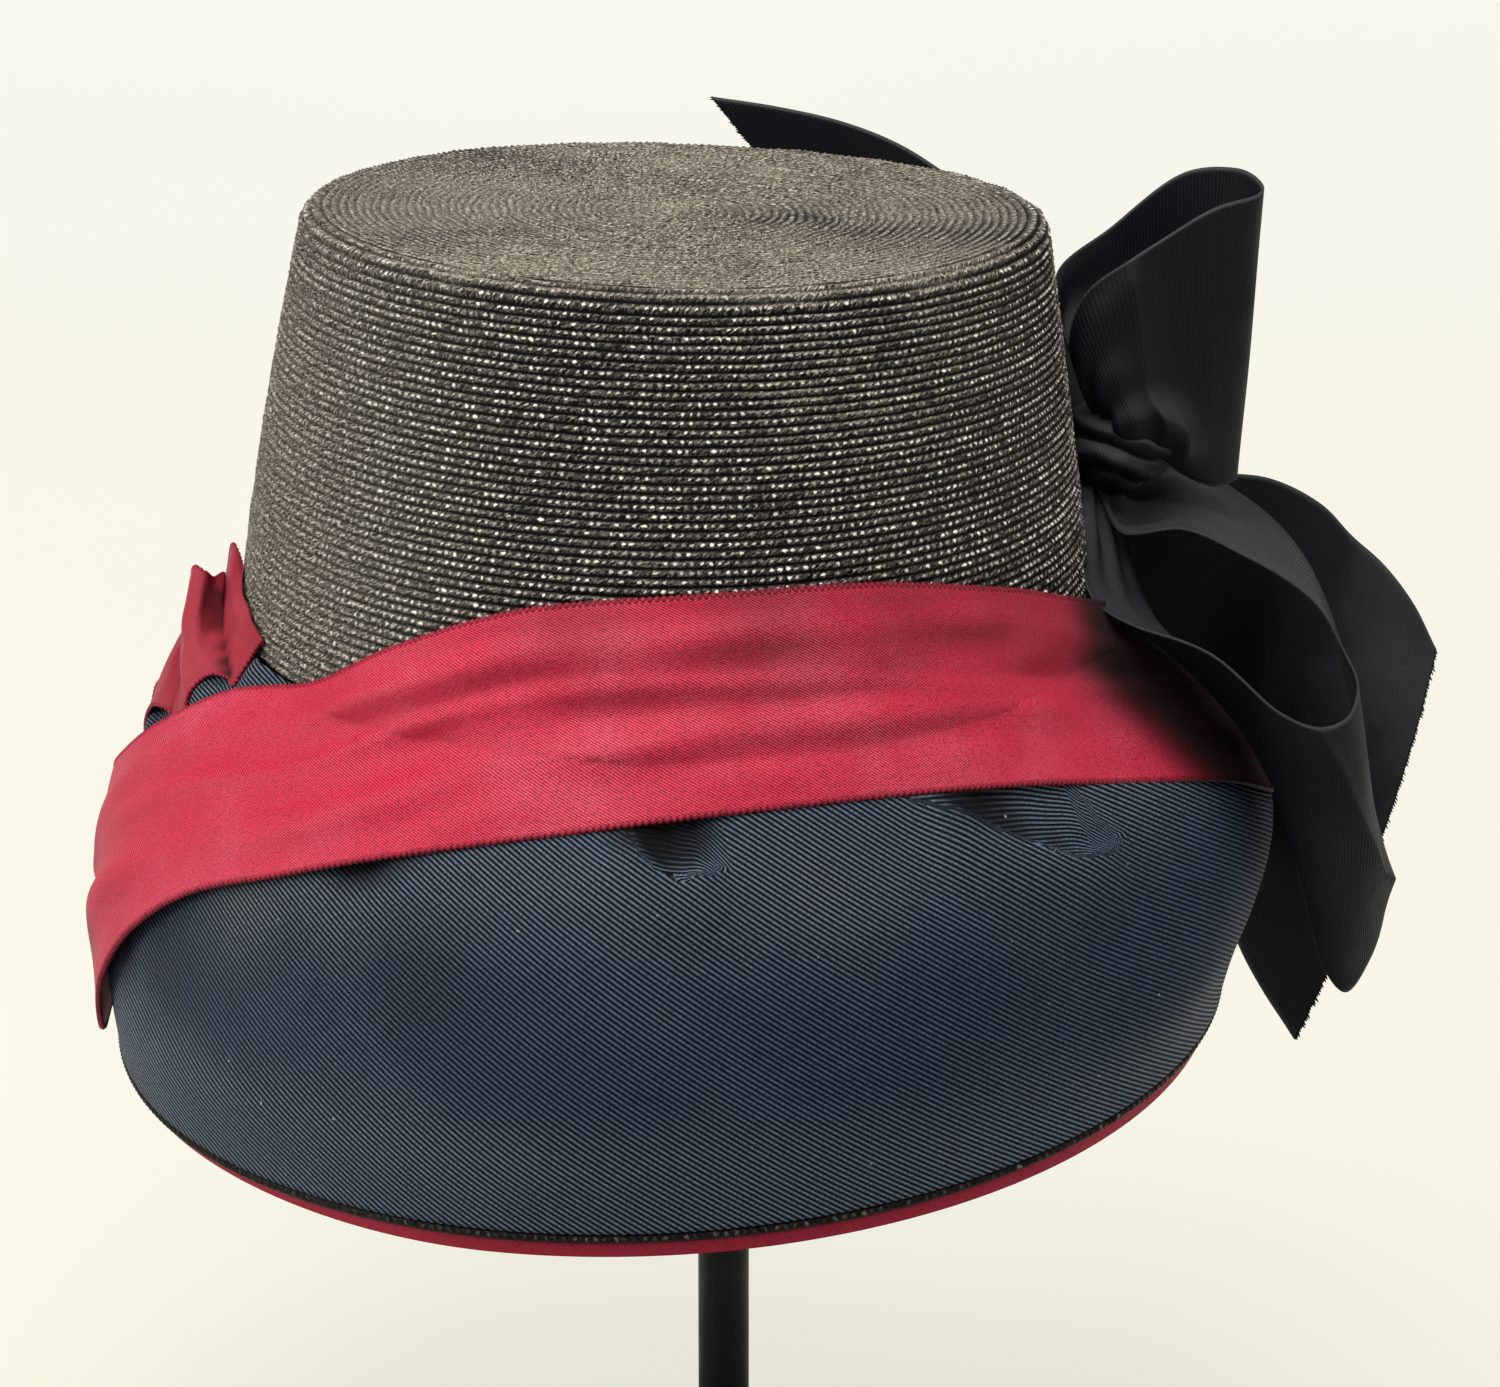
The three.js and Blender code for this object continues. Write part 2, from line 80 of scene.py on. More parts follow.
class Slot(Enum):
    """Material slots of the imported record."""

    STRAW = "straw"
    SILK = "navy_silk"
    LINING = "lining_cloth"
    CRIMSON = "crimson_ribbon"
    BOW = "bow_ribbon"
    METAL = "stand_metal"
    WOOD = "stand_wood"


class Seam(Enum):
    """How the first and last columns of a grid meet."""

    OPEN = "left open"
    WELDED = "joined"


def srgb(red: float, green: float, blue: float) -> Colour:
    """Gives the linear colour of a screen colour.

    Args:
        red: Red from 0 to 255.
        green: Green from 0 to 255.
        blue: Blue from 0 to 255.

    Returns:
        Linear red, green, blue and alpha.
    """
    shares = [part / 255 for part in (red, green, blue)]
    linear = [s / 12.92 if s <= 0.04045 else ((s + 0.055) / 1.055) ** 2.4 for s in shares]
    return (linear[0], linear[1], linear[2], 1.0)


def mix(start: Amount, end: Amount, share: Array) -> Array:
    """Goes from start to end by a share."""
    return start + (end - start) * share


def smoothstep(value: Array, low: float, high: float) -> Array:
    """Rises smoothly from 0 at low to 1 at high."""
    share = np.clip((value - low) / (high - low), 0, 1)
    return share * share * (3 - 2 * share)


def unit(vectors: Array) -> Array:
    """Scales each row to length 1."""
    return vectors / np.maximum(np.linalg.norm(vectors, axis=-1, keepdims=True), 1e-12)


def around(share: Array) -> Array:
    """Gives the angle at a share of a whole turn, which starts and ends at the back."""
    return 2 * math.pi * share + math.pi


def ripples(first: Array, second: Array, length: float, seed: int) -> Array:
    """Gives smooth uneven waves, about from -1 to 1, for cloth that doesn't lie quite flat.

    Args:
        first: First coordinate on the cloth, in millimetres.
        second: Second coordinate on the cloth, in millimetres.
        length: Usual wavelength, in millimetres.
        seed: Which set of waves.

    Returns:
        Height of the waves at each point.
    """
    random = np.random.default_rng(seed)
    total = np.zeros_like(first)
    for _ in range(RIPPLE_WAVES):
        heading = random.uniform(0, 2 * math.pi)
        wave = length * random.uniform(0.7, 1.6)
        start = random.uniform(0, 2 * math.pi)
        reach = first * math.cos(heading) + second * math.sin(heading)
        total = total + np.sin(2 * math.pi * reach / wave + start)
    return total / (RIPPLE_WAVES / 2)


def spline(rows: Array, share: Array, chord_power: float = 0.5) -> Array:
    """Gives points on a Catmull-Rom curve through the rows of a table.

    Args:
        rows: One point of the curve in each row.
        share: Place along the curve, from 0 to 1 in even steps of rows.
        chord_power: 0.5 for a curve that doesn't overshoot, 0 for even steps.

    Returns:
        One point for each share.
    """
    last = len(rows) - 1
    along = np.clip(share, 0, 1) * last
    start = np.minimum(along.astype(int), last - 1)
    part = (along - start)[:, None]
    ends = np.vstack([2 * rows[0] - rows[1], rows, 2 * rows[-1] - rows[-2]])
    before, here, there, after = (ends[start + step] for step in range(4))
    first = np.linalg.norm(here - before, axis=1, keepdims=True) ** chord_power
    middle = np.linalg.norm(there - here, axis=1, keepdims=True) ** chord_power
    final = np.linalg.norm(after - there, axis=1, keepdims=True) ** chord_power
    leave = (here - before) / first - (there - before) / (first + middle) + (there - here) / middle
    arrive = (there - here) / middle - (after - here) / (middle + final) + (after - there) / final
    square = part * part
    cube = square * part
    ease = 3 * square - 2 * cube
    bend = (cube - 2 * square + part) * leave + (cube - square) * arrive
    return here * (1 - ease) + there * ease + bend * middle


def path_distance(first: Array, second: Array, path: Table) -> tuple[Array, Array]:
    """Measures points of a flat chart against a path of straight stretches.

    Args:
        first: First chart coordinate of each point.
        second: Second chart coordinate of each point.
        path: Corners of the path.

    Returns:
        Distance of each point, signed by the side of the path, and its share of the path's length.
    """
    corners = np.asarray(path, float)
    lengths = np.linalg.norm(np.diff(corners, axis=0), axis=1)
    starts = np.concatenate([[0], np.cumsum(lengths)])
    best = np.full(first.shape, np.inf)
    side = np.ones(first.shape)
    along = np.zeros(first.shape)
    for corner, following, length, start in zip(corners, corners[1:], lengths, starts):
        way = (following - corner) / length
        gone = (first - corner[0]) * way[0] + (second - corner[1]) * way[1]
        held = np.clip(gone, 0, length)
        across = first - corner[0] - held * way[0]
        down = second - corner[1] - held * way[1]
        distance = np.hypot(across, down)
        nearer = distance < best
        best = np.where(nearer, distance, best)
        side = np.where(nearer, np.where(way[0] * down - way[1] * across > 0, 1, -1), side)
        along = np.where(nearer, (start + held) / starts[-1], along)
    return best * side, along


def face_normal(face: Face, u: Array, v: Array) -> Array:
    """Gives the unit normals of a face, found from small steps on it.

    Args:
        face: Points of the face for two shares from 0 to 1.
        u: First share.
        v: Second share.

    Returns:
        One normal for each point.
    """
    step = 1e-3
    level = face(np.minimum(u + step, 1), v) - face(np.maximum(u - step, 0), v)
    down = face(u, np.minimum(v + step, 1)) - face(u, np.maximum(v - step, 0))
    return unit(np.cross(level, down))


@dataclass(frozen=True)
class BonnetForm:
    """The bonnet's main form, in millimetres: a tapering crown with a tilted tip on a bell-shaped brim.

    At the tip's edge, tip_narrow draws the left side in and right_lift raises the right side. The swell is a
    bulge of the bell at the bow's side.
    """

    origin: Place
    base_across: float
    base_deep: float
    tip_across: float = 81.5
    tip_deep: float = 87.0
    tip_narrow: float = 4.2
    height: float = 87.0
    shoulder: float = 4.5
    fall_back: float = 0.06
    fall_right: float = 0.035
    right_lift: float = 2.2
    rim_across: float = 122.0
    rim_front: float = 138.0
    rim_back: float = 124.0
    rim_drop: float = 90.0
    rim_roll: float = 6.0
    nape_drop: float = 52.0
    nape_from: float = math.radians(98)
    nape_to: float = math.radians(172)
    swell: float = 13.0
    swell_narrow: float = 6.0
    swell_level: float = 0.85
    flare_side: float = 2.6
    flare_front: float = 2.0

    @classmethod
    def from_frame(cls) -> "BonnetForm":
        """Reads the crown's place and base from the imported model.

        Returns:
            The form with its place and its base.
        """
        low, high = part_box("crown")
        middle = (low + high) / 2
        across = (high.x - low.x) / 2 / METRE
        deep = (high.y - low.y) / 2 / METRE
        return cls((middle.x, middle.y, low.z), across, deep)

    def placed(self, points: Array) -> Array:
        """Moves points of the bonnet's frame to the part's frame, in metres."""
        return points * METRE + np.array(self.origin)

    def spots(self, points: Array, reaches: Sequence[float], shares: Sequence[float]) -> Table:
        """Lists soft spots for a finish, in metres: the place, the reach and the strength of each."""
        rows = np.column_stack([self.placed(points), np.multiply(reaches, METRE), shares])
        return tuple(map(tuple, rows))

    def crown_point(self, angle: Array, place: Array, inset: Array) -> Array:
        """Gives points on the crown's wall.

        Args:
            angle: Angle round the crown.
            place: 0 at the tip's centre, 1 at the tip's edge, 2 under the shoulder and 3 at the base.
            inset: How far inside the outer face.

        Returns:
            Points in the bonnet's frame.
        """
        bend = np.clip(place - 1, 0, 1) * math.pi / 2
        down = np.maximum(place - 2, 0)
        pull = inset + self.shoulder * (1 - np.sin(bend))
        share = np.minimum(place, 1)
        narrow = np.where(np.sin(angle) < 0, self.tip_narrow, 0) * (1 - down) ** 2
        x = share * (mix(self.tip_across, self.base_across, down) - pull - narrow) * np.sin(angle)
        y = -share * (mix(self.tip_deep, self.base_deep, down) - pull) * np.cos(angle)
        lift = self.right_lift * np.maximum(x / self.tip_across, 0) ** 2
        fall = self.fall_back * y + self.fall_right * x - lift
        top = self.height - inset - self.shoulder * (1 - np.cos(bend))
        z = top * (1 - fall / self.height) * (1 - down)
        return np.stack([x, y, z], -1)

    def bell_point(self, angle: Array, depth: Array) -> Array:
        """Gives points on the brim's bell.

        Args:
            angle: Angle round the bell.
            depth: Depth below the crown's base.

        Returns:
            Points in the bonnet's frame.
        """
        left = np.maximum(1 - depth / self.rim_drop, 0)
        rim_deep = np.where(np.cos(angle) > 0, self.rim_front, self.rim_back)
        level = np.sin(math.pi * np.clip(1 - left, 0, 1) ** self.swell_level) ** 2
        swell = self.swell * np.maximum(np.sin(angle), 0) ** self.swell_narrow * level
        across = mix(self.rim_across, self.base_across, left**self.flare_side) + swell
        deep = mix(rim_deep, self.base_deep, left**self.flare_front)
        return np.stack([across * np.sin(angle), -deep * np.cos(angle), -depth + 0 * angle], -1)

    def bell_normal(self, angle: Array, depth: Array) -> Array:
        """Gives the bell's outward normals, found from small steps on it.

        Args:
            angle: Angle round the bell.
            depth: Depth below the crown's base.

        Returns:
            One unit normal for each point.
        """
        turn = 1e-3
        drop = 0.05
        level = self.bell_point(angle + turn, depth) - self.bell_point(angle - turn, depth)
        rise = self.bell_point(angle, depth - drop) - self.bell_point(angle, depth + drop)
        return unit(np.cross(level, rise))

    def off_bell(self, angle: Array, depth: Array, off: Array) -> Array:
        """Gives points that stand off the bell by a distance."""
        return self.bell_point(angle, depth) + self.bell_normal(angle, depth) * off[:, None]

    def rim_depth(self, angle: Array) -> Array:
        """Gives the rim's depth, which is less at the nape.

        Args:
            angle: Angle round the rim.

        Returns:
            Depth below the crown's base.
        """
        turned = np.abs((angle + math.pi) % (2 * math.pi) - math.pi)
        front = self.rim_drop - self.rim_roll * np.sin(angle)
        return mix(front, self.nape_drop, smoothstep(turned, self.nape_from, self.nape_to))

    def outside_point(self, angle: Array, height: Array, off: Array) -> Array:
        """Gives points off the crown or, under its base, off the bell.

        Args:
            angle: Angle round the bonnet.
            height: Height above the crown's base.
            off: How far outside the wall.

        Returns:
            Points in the bonnet's frame.
        """
        place = 3 - np.maximum(height, 0) / self.height
        crown = self.crown_point(angle, place, -off)
        bell = self.bell_point(angle, np.maximum(-height, 0))
        reach = np.hypot(bell[:, 0], bell[:, 1])
        grown = bell * ((reach + off) / reach)[:, None]
        flat = np.where((height > 0)[:, None], crown, grown)
        return np.stack([flat[:, 0], flat[:, 1], height + 0 * off], -1)


class NodeBoard:
    """Lays out the nodes of one procedural material round its Principled shader."""

    def __init__(self, name: str) -> None:
        """Starts a material with a Principled shader.

        Args:
            name: Name of the material.
        """
        self.material = bpy.data.materials.new(name)
        self.material.use_nodes = True
        self.tree = self.material.node_tree
        self.shader = self.tree.nodes["Principled BSDF"]

    def add(self, kind: str, **settings: str) -> bpy.types.Node:
        """Adds a node.

        Args:
            kind: Type of the node.
            settings: Its settings by name.

        Returns:
            The new node.
        """
        node = self.tree.nodes.new(kind)
        for name, value in settings.items():
            setattr(node, name, value)
        return node

    def feed(self, socket: Socket, value: Union[Value, Colour, Place]) -> None:
        """Links a socket to another one, or gives it a value.

        Args:
            socket: The socket to feed.
            value: An output to link, or a plain value.
        """
        if isinstance(value, Socket):
            self.tree.links.new(value, socket)
        else:
            socket.default_value = value

    def feed_named(self, node: bpy.types.Node, **values: Union[Value, Colour]) -> Socket:
        """Feeds sockets of a node by name.

        Args:
            node: The node.
            values: One value for each socket, named with _ for a space.

        Returns:
            The node's first output.
        """
        for name, value in values.items():
            self.feed(node.inputs[name.replace("_", " ")], value)
        return node.outputs[0]

    def feed_first(self, node: bpy.types.Node, *values: Union[Value, Place]) -> Socket:
        """Feeds the first sockets of a node in their order.

        Args:
            node: The node.
            values: One value for each socket.

        Returns:
            The node's first output.
        """
        for socket, value in zip(node.inputs, values):
            self.feed(socket, value)
        return node.outputs[0]

    def settle(self, **values: Union[Value, Colour]) -> None:
        """Feeds the shader's sockets, named with _ for a space."""
        self.feed_named(self.shader, **values)

    def math(self, operation: str, *values: Value) -> Socket:
        """Works out a sum of one to three values."""
        return self.feed_first(self.add("ShaderNodeMath", operation=operation), *values)

    def times(self, first: Value, second: Value) -> Socket:
        """Multiplies two values."""
        return self.math("MULTIPLY", first, second)

    def scaled(self, value: Value, factor: Value, extra: Value) -> Socket:
        """Multiplies a value by a factor and adds an extra to it."""
        return self.math("MULTIPLY_ADD", value, factor, extra)

    def wave(self, phase: Value) -> Socket:
        """Gives a wave from 0 to 1 that repeats at each whole number, high at the whole numbers."""
        return self.scaled(self.math("COSINE", self.times(phase, 2 * math.pi)), 0.5, 0.5)

    def range(self, value: Value, low: float, high: float, to_low: float = 0, to_high: float = 1) -> Socket:
        """Maps a value smoothly from one range to another and holds it there."""
        node = self.add("ShaderNodeMapRange", interpolation_type="SMOOTHSTEP")
        return self.feed_first(node, value, low, high, to_low, to_high)

    def blend(self, share: Value, first: Shade, second: Shade) -> Socket:
        """Mixes two colours.

        Args:
            share: Share of the second colour.
            first: First colour.
            second: Second colour.

        Returns:
            The mixed colour.
        """
        node = self.add("ShaderNodeMix", data_type="RGBA")
        for index, value in ((0, share), (6, first), (7, second)):
            self.feed(node.inputs[index], value)
        return node.outputs[2]

    def tint(self, first: Shade, second: Shade, value: Value, *limits: float) -> Socket:
        """Mixes two colours by a value, mapped between limits as range does."""
        return self.blend(self.range(value, *limits), first, second)

    def parts(self, vector: Socket) -> tuple[Socket, ...]:
        """Splits a vector.

        Args:
            vector: The vector.

        Returns:
            Its three parts.
        """
        node = self.add("ShaderNodeSeparateXYZ")
        self.feed(node.inputs[0], vector)
        return tuple(node.outputs)

    def pattern(self) -> tuple[Socket, ...]:
        """Gives the two coordinates of the piece's own pattern map."""
        return self.parts(self.add("ShaderNodeUVMap", uv_map=PATTERN_MAP).outputs[0])[:2]

    def vector(self, x: Value, y: Value) -> Socket:
        """Joins two values into a flat vector."""
        return self.feed_first(self.add("ShaderNodeCombineXYZ"), x, y)

    def place(self) -> Socket:
        """Gives the point's own place in the object."""
        return self.add("ShaderNodeTexCoord").outputs["Object"]

    def near(self, point: Sequence[float], reach: float) -> Socket:
        """Measures how near each place is to a point.

        Args:
            point: A point of the object, in metres.
            reach: Distance at which the value ends, in metres.

        Returns:
            1 at the point, falling to 0 at the reach.
        """
        node = self.add("ShaderNodeVectorMath", operation="DISTANCE")
        self.feed_first(node, self.place(), tuple(point))
        return self.range(node.outputs["Value"], 0, reach, 1, 0)

    def spots(self, body: Socket, spots: Table, colour: Colour) -> Socket:
        """Tints soft round spots.

        Args:
            body: Colour under the spots.
            spots: Place, reach and strength of each.
            colour: Colour of the spots.

        Returns:
            The tinted colour.
        """
        for *point, reach, share in spots:
            body = self.blend(self.times(self.near(point, reach), share), body, colour)
        return body

    def upward(self) -> Socket:
        """Gives how far the surface faces upwards, from -1 to 1."""
        return self.parts(self.add("ShaderNodeNewGeometry").outputs["Normal"])[2]

    def noise(self, vector: Socket, scale: float, detail: float = 2.0, rough: float = 0.5) -> Socket:
        """Gives uneven noise from 0 to 1, with features of a scale, finer layers and their strength."""
        node = self.add("ShaderNodeTexNoise")
        return self.feed_named(node, Vector=vector, Scale=scale, Detail=detail, Roughness=rough)

    def chance(self, x: Value, y: Value) -> Socket:
        """Gives one random value from 0 to 1 for each cell of whole numbers."""
        cell = self.vector(self.math("FLOOR", x), self.math("FLOOR", y))
        return self.feed_named(self.add("ShaderNodeTexWhiteNoise", noise_dimensions="2D"), Vector=cell)

    def bump(self, height: Socket, strength: float, distance: float) -> None:
        """Raises the surface by a height, with a distance in metres for a height of 1."""
        node = self.add("ShaderNodeBump")
        self.settle(Normal=self.feed_named(node, Height=height, Strength=strength, Distance=distance))


@dataclass(frozen=True)
class StrawFinish:
    """Dark sewn straw plait in rows, with dust on what faces up, painted highlights on the beads, painted
    shade in the gaps between rows and painted light towards the left.
    """

    name: str = "straw_plait"
    strand: Colour = srgb(11, 9, 9)
    pale: Colour = srgb(92, 85, 83)
    # darkest colour: for dark fibres, and for painted shade in the gaps between rows
    dark_and_gap_shade: Colour = srgb(2, 2, 2)
    # glint: colour of the highlights painted on the beads
    glint: Colour = srgb(236, 233, 228)
    # wisp: pale fibre strokes and dust, which also stand in for small painted glints
    wisp: Colour = srgb(166, 161, 152)
    # dust: colour of the dust on what faces up, also used as painted light towards the left
    dust: Colour = srgb(133, 128, 116)
    dust_and_light_share: float = 0.7
    # glint_share: strength of the painted highlights
    glint_share: float = 1.0
    # painted light towards the left: x limits in metres and the shares there
    left_light: Sequence[float] = (-0.03, -0.11, 0, 0.5)

    def dust_and_left_light(self, board: NodeBoard) -> Socket:
        """Gives where the straw is paled: by dust on what faces up, and by painted light towards the left.

        Args:
            board: Board of the material.

        Returns:
            A value from 0 to 1.
        """
        stains = board.noise(board.place(), 22.0, 4.0, 0.6)
        above = board.range(board.scaled(stains, 1.6, board.upward()), 1.2, 2.2)
        return board.math("MAXIMUM", above, board.range(board.parts(board.place())[0], *self.left_light))

    @staticmethod
    def spot(board: NodeBoard, side: Socket, level: Socket) -> Socket:
        """Gives a soft oval spot in each bead, where a highlight is painted.

        Args:
            board: Board of the material.
            side: Place across the bead, from 0 to 1.
            level: Place down the row, from 0 to 1.

        Returns:
            1 in the middle of the spot, 0 outside it.
        """
        side = board.math("POWER", board.scaled(side, 3.6, -1.26), 2.0)
        level = board.math("POWER", board.scaled(level, 4.2, -2.1), 2.0)
        return board.range(board.math("ADD", side, level), 1.0, 0.1)

    def material(self) -> bpy.types.Material:
        """Makes the finish.

        Returns:
            The material, whose pattern map counts strands and rows.
        """
        board = NodeBoard(self.name)
        strand, row = board.pattern()
        uneven = board.noise(board.vector(board.times(strand, 1.7), board.times(row, 2.3)), 1.0)
        swerve = board.scaled(uneven, 1.0, -0.5)
        part = board.math("FRACT", row)
        hump = board.math("SINE", board.times(part, math.pi))
        loose = board.scaled(board.chance(0.5, row), 0.6, board.math("ADD", strand, swerve))
        slant = board.scaled(part, -0.1, loose)
        bead = board.wave(slant)
        shifted = board.math("ADD", slant, 0.5)
        luck = board.chance(shifted, row)
        lean = board.chance(board.math("ADD", shifted, OTHER_CELL), row)
        across = board.scaled(part, 3.5, board.times(slant, 5))
        fibre = board.noise(board.vector(across, board.times(row, 1.6)), 1.0)
        fine = board.noise(board.vector(board.times(across, 0.6), board.times(row, 2.2)), 1.0)
        dust_and_left_light = self.dust_and_left_light(board)
        strokes = board.times(board.range(fibre, 0.48, 0.62), board.range(luck, 0, 1, 0.35, 1))
        body = board.blend(strokes, self.strand, self.pale)
        # Dust on what faces up, and painted light towards the left.
        body = board.blend(board.times(dust_and_left_light, self.dust_and_light_share), body, self.dust)
        # Pale wisps of fibre and dust, partly painted small glints, stronger where dust and painted light
        # lie.
        wispy = board.range(dust_and_left_light, 0, 0.5, self.dust_and_light_share * 0.4, self.dust_and_light_share * 1.3)
        body = board.blend(board.times(board.range(fine, 0.53, 0.64), wispy), body, self.wisp)
        body = board.blend(board.times(board.range(fine, 0.46, 0.36), wispy), body, self.dark_and_gap_shade)
        # Painted shade in the gaps between the rows, weaker where dust and painted light lie.
        ragged = board.scaled(swerve, 0.6, hump)
        seam = board.times(board.range(ragged, 0.12, 0.85), board.range(bead, -0.6, 0.35))
        gap_shade = board.times(board.range(seam, 1, 0), board.range(dust_and_left_light, 0, 0.6, 1, 0.4))
        body = board.blend(gap_shade, body, self.dark_and_gap_shade)
        body = board.tint(body, self.dark_and_gap_shade, fibre, 0.42, 0.3, 0, 0.8)
        # Painted highlights: a pale glint spot in the colour of some beads, weaker where dust and painted
        # light lie.
        side = board.scaled(lean, -0.3, board.math("FRACT", shifted))
        level = board.math("ADD", part, board.times(swerve, 0.35))
        bright = board.times(self.spot(board, side, level), board.math("POWER", lean, 1.5))
        shine = board.range(dust_and_left_light, 0, 0.5, self.glint_share, self.glint_share * 0.25)
        body = board.blend(board.times(bright, shine), body, self.glint)
        relief = board.times(hump, board.scaled(bead, 0.6, 0.2))
        board.bump(board.scaled(fibre, 0.25, relief), 0.8, 0.0004)
        board.settle(Base_Color=body, Roughness=board.scaled(luck, 0.2, 0.4), Specular_IOR_Level=0.06)
        return board.material


@dataclass(frozen=True)
class SilkFinish:
    """Navy ribbed silk: rounded ribs with dark grooves, worn paler in places, with a little lint; painted
    light towards the top and the rim and on lit bulges, and painted shade in pockets and under the ribbon.
    """

    name: str = "ribbed_silk"
    ridge: Colour = srgb(49, 66, 92)
    groove: Colour = srgb(2, 4, 9)
    # faded: paler colour of worn silk, also used as painted light towards the top and the rim
    faded: Colour = srgb(90, 104, 124)
    lint: Colour = srgb(170, 168, 162)
    # shade: colour of the painted shade in the tucks' pockets, under the ribbon's edge and on darker bands
    shade: Colour = srgb(4, 5, 8)
    # bloom: pale colour of the worn and dusty spots, also used as painted light on lit bulges
    bloom: Colour = srgb(98, 106, 114)
    shade_patches: Table = ()
    worn_and_lit: Table = ()
    # paler towards the top and towards the rim: painted light, as heights in metres and the shares there
    lit_top: Sequence[float] = (0.196, 0.222, 0, 0.75)
    lit_rim: Sequence[float] = (0.181, 0.162, 0, 0.75)

    def material(self) -> bpy.types.Material:
        """Makes the finish.

        Returns:
            The material, whose pattern map counts ribs and measures along them.
        """
        board = NodeBoard(self.name)
        rib, along = board.pattern()
        wave = board.wave(rib)
        yarn = board.noise(board.vector(board.times(rib, 1.3), board.times(along, 1.9)), 1.0)
        wear = board.noise(board.place(), 16.0, 5.0, 0.62)
        fleck = board.noise(board.place(), 520.0, 1.0)
        level = board.parts(board.place())[2]
        body = board.tint(self.ridge, self.faded, wear, 0.42, 0.78, 0, 0.5)
        # Painted light: paler towards the top of the bell and towards the rim.
        body = board.tint(body, self.faded, level, *self.lit_top)
        body = board.tint(body, self.faded, level, *self.lit_rim)
        # Worn and dusty spots, and spots of painted light.
        body = board.spots(body, self.worn_and_lit, self.bloom)
        body = board.tint(body, self.groove, yarn, 0.3, 0.8, 0, 0.65)
        body = board.tint(self.groove, body, wave, 0.3, 0.85)
        # Painted shade in the pockets, under the ribbon's edge and in darker bands.
        body = board.spots(body, self.shade_patches, self.shade)
        body = board.tint(body, self.lint, fleck, 0.8, 0.83, 0, 0.7)
        board.bump(board.scaled(yarn, 0.35, wave), 0.8, 0.00035)
        board.settle(Base_Color=body, Roughness=board.range(wave, 0, 1, 0.72, 0.5))
        board.settle(Specular_IOR_Level=0.1, Sheen_Weight=0.02, Sheen_Roughness=0.4)
        board.settle(Sheen_Tint=srgb(130, 155, 195))
        return board.material


@dataclass(frozen=True)
class TwillFinish:
    """Crimson woven ribbon: a fine slanted weave with a silky face, faded and a little stained, with painted
    shade in given spots.
    """

    name: str = "crimson_twill"
    thread: Colour = srgb(196, 38, 72)
    trough: Colour = srgb(66, 4, 18)
    faded: Colour = srgb(214, 86, 112)
    soil: Colour = srgb(60, 16, 22)
    # colour and places of painted shade
    shade_colour: Colour = srgb(8, 2, 3)
    shade_spots: Table = ()
    pitch: float = TWILL_PITCH

    def material(self) -> bpy.types.Material:
        """Makes the finish.

        Returns:
            The material, whose pattern map is in millimetres along and across the ribbon.
        """
        board = NodeBoard(self.name)
        along, across = board.pattern()
        slant = board.times(board.math("ADD", along, across), 1 / self.pitch)
        weave = board.wave(slant)
        steps = board.times(board.math("SUBTRACT", across, along), 1.9)
        thread = board.noise(board.vector(steps, slant), 1.0, 1.0)
        wear = board.noise(board.place(), 28.0, 5.0, 0.6)
        stains = board.noise(board.place(), 70.0, 3.0, 0.6)
        mottle = board.noise(board.vector(along, board.times(across, 1.5)), 0.9, 3.0, 0.7)
        body = board.tint(self.thread, self.faded, wear, 0.4, 0.75, 0, 0.6)
        body = board.tint(body, self.trough, weave, 0.0, 0.7, 0.8, 0)
        body = board.tint(body, self.trough, thread, 0.45, 0.75, 0, 0.7)
        body = board.tint(body, self.trough, mottle, 0.42, 0.7, 0, 0.36)
        body = board.tint(body, self.soil, stains, 0.66, 0.8, 0, 0.55)
        # Painted shade at the given spots.
        body = board.spots(body, self.shade_spots, self.shade_colour)
        board.bump(board.scaled(thread, 0.5, weave), 0.45, 0.00018)
        board.settle(Base_Color=body, Roughness=board.range(weave, 0, 1, 0.62, 0.46))
        board.settle(Specular_IOR_Level=0.18, Sheen_Weight=0.03, Sheen_Roughness=0.45)
        board.settle(Sheen_Tint=srgb(255, 170, 185))
        return board.material


@dataclass(frozen=True)
class GrosgrainFinish:
    """Dark bow ribbon with ribs across its width, pale thin selvages and grey dust on its tops."""

    name: str = "bow_grosgrain"
    ridge: Colour = srgb(10, 13, 20)
    groove: Colour = srgb(4, 5, 8)
    dust: Colour = srgb(52, 54, 57)
    selvage: Colour = srgb(52, 55, 60)
    width: float = 66.0
    pitch: float = 0.7

    def material(self) -> bpy.types.Material:
        """Makes the finish.

        Returns:
            The material, whose pattern map is in millimetres along and across the ribbon.
        """
        board = NodeBoard(self.name)
        along, across = board.pattern()
        half = self.width / 2
        rib = board.wave(board.math("DIVIDE", along, self.pitch))
        yarn = board.noise(board.vector(along, board.times(across, 1.6)), 1.6, 1.0)
        wear = board.noise(board.place(), 40.0, 4.0, 0.6)
        edge = board.math("ABSOLUTE", board.math("SUBTRACT", across, half))
        body = board.tint(self.groove, self.ridge, rib, 0.1, 0.7)
        body = board.tint(body, self.groove, yarn, 0.5, 0.85, 0, 0.5)
        body = board.tint(body, self.dust, board.scaled(wear, 0.8, board.upward()), 0.5, 1.4, 0, 0.65)
        body = board.tint(body, self.selvage, edge, half - 0.7, half - 0.4, 0, 0.6)
        board.bump(board.scaled(yarn, 0.4, rib), 0.5, 0.00015)
        board.settle(Base_Color=body, Roughness=board.range(wear, 0.3, 0.7, 0.5, 0.68))
        board.settle(Specular_IOR_Level=0.1, Sheen_Weight=0.01, Sheen_Roughness=0.4)
        board.settle(Sheen_Tint=srgb(170, 185, 210))
        return board.material


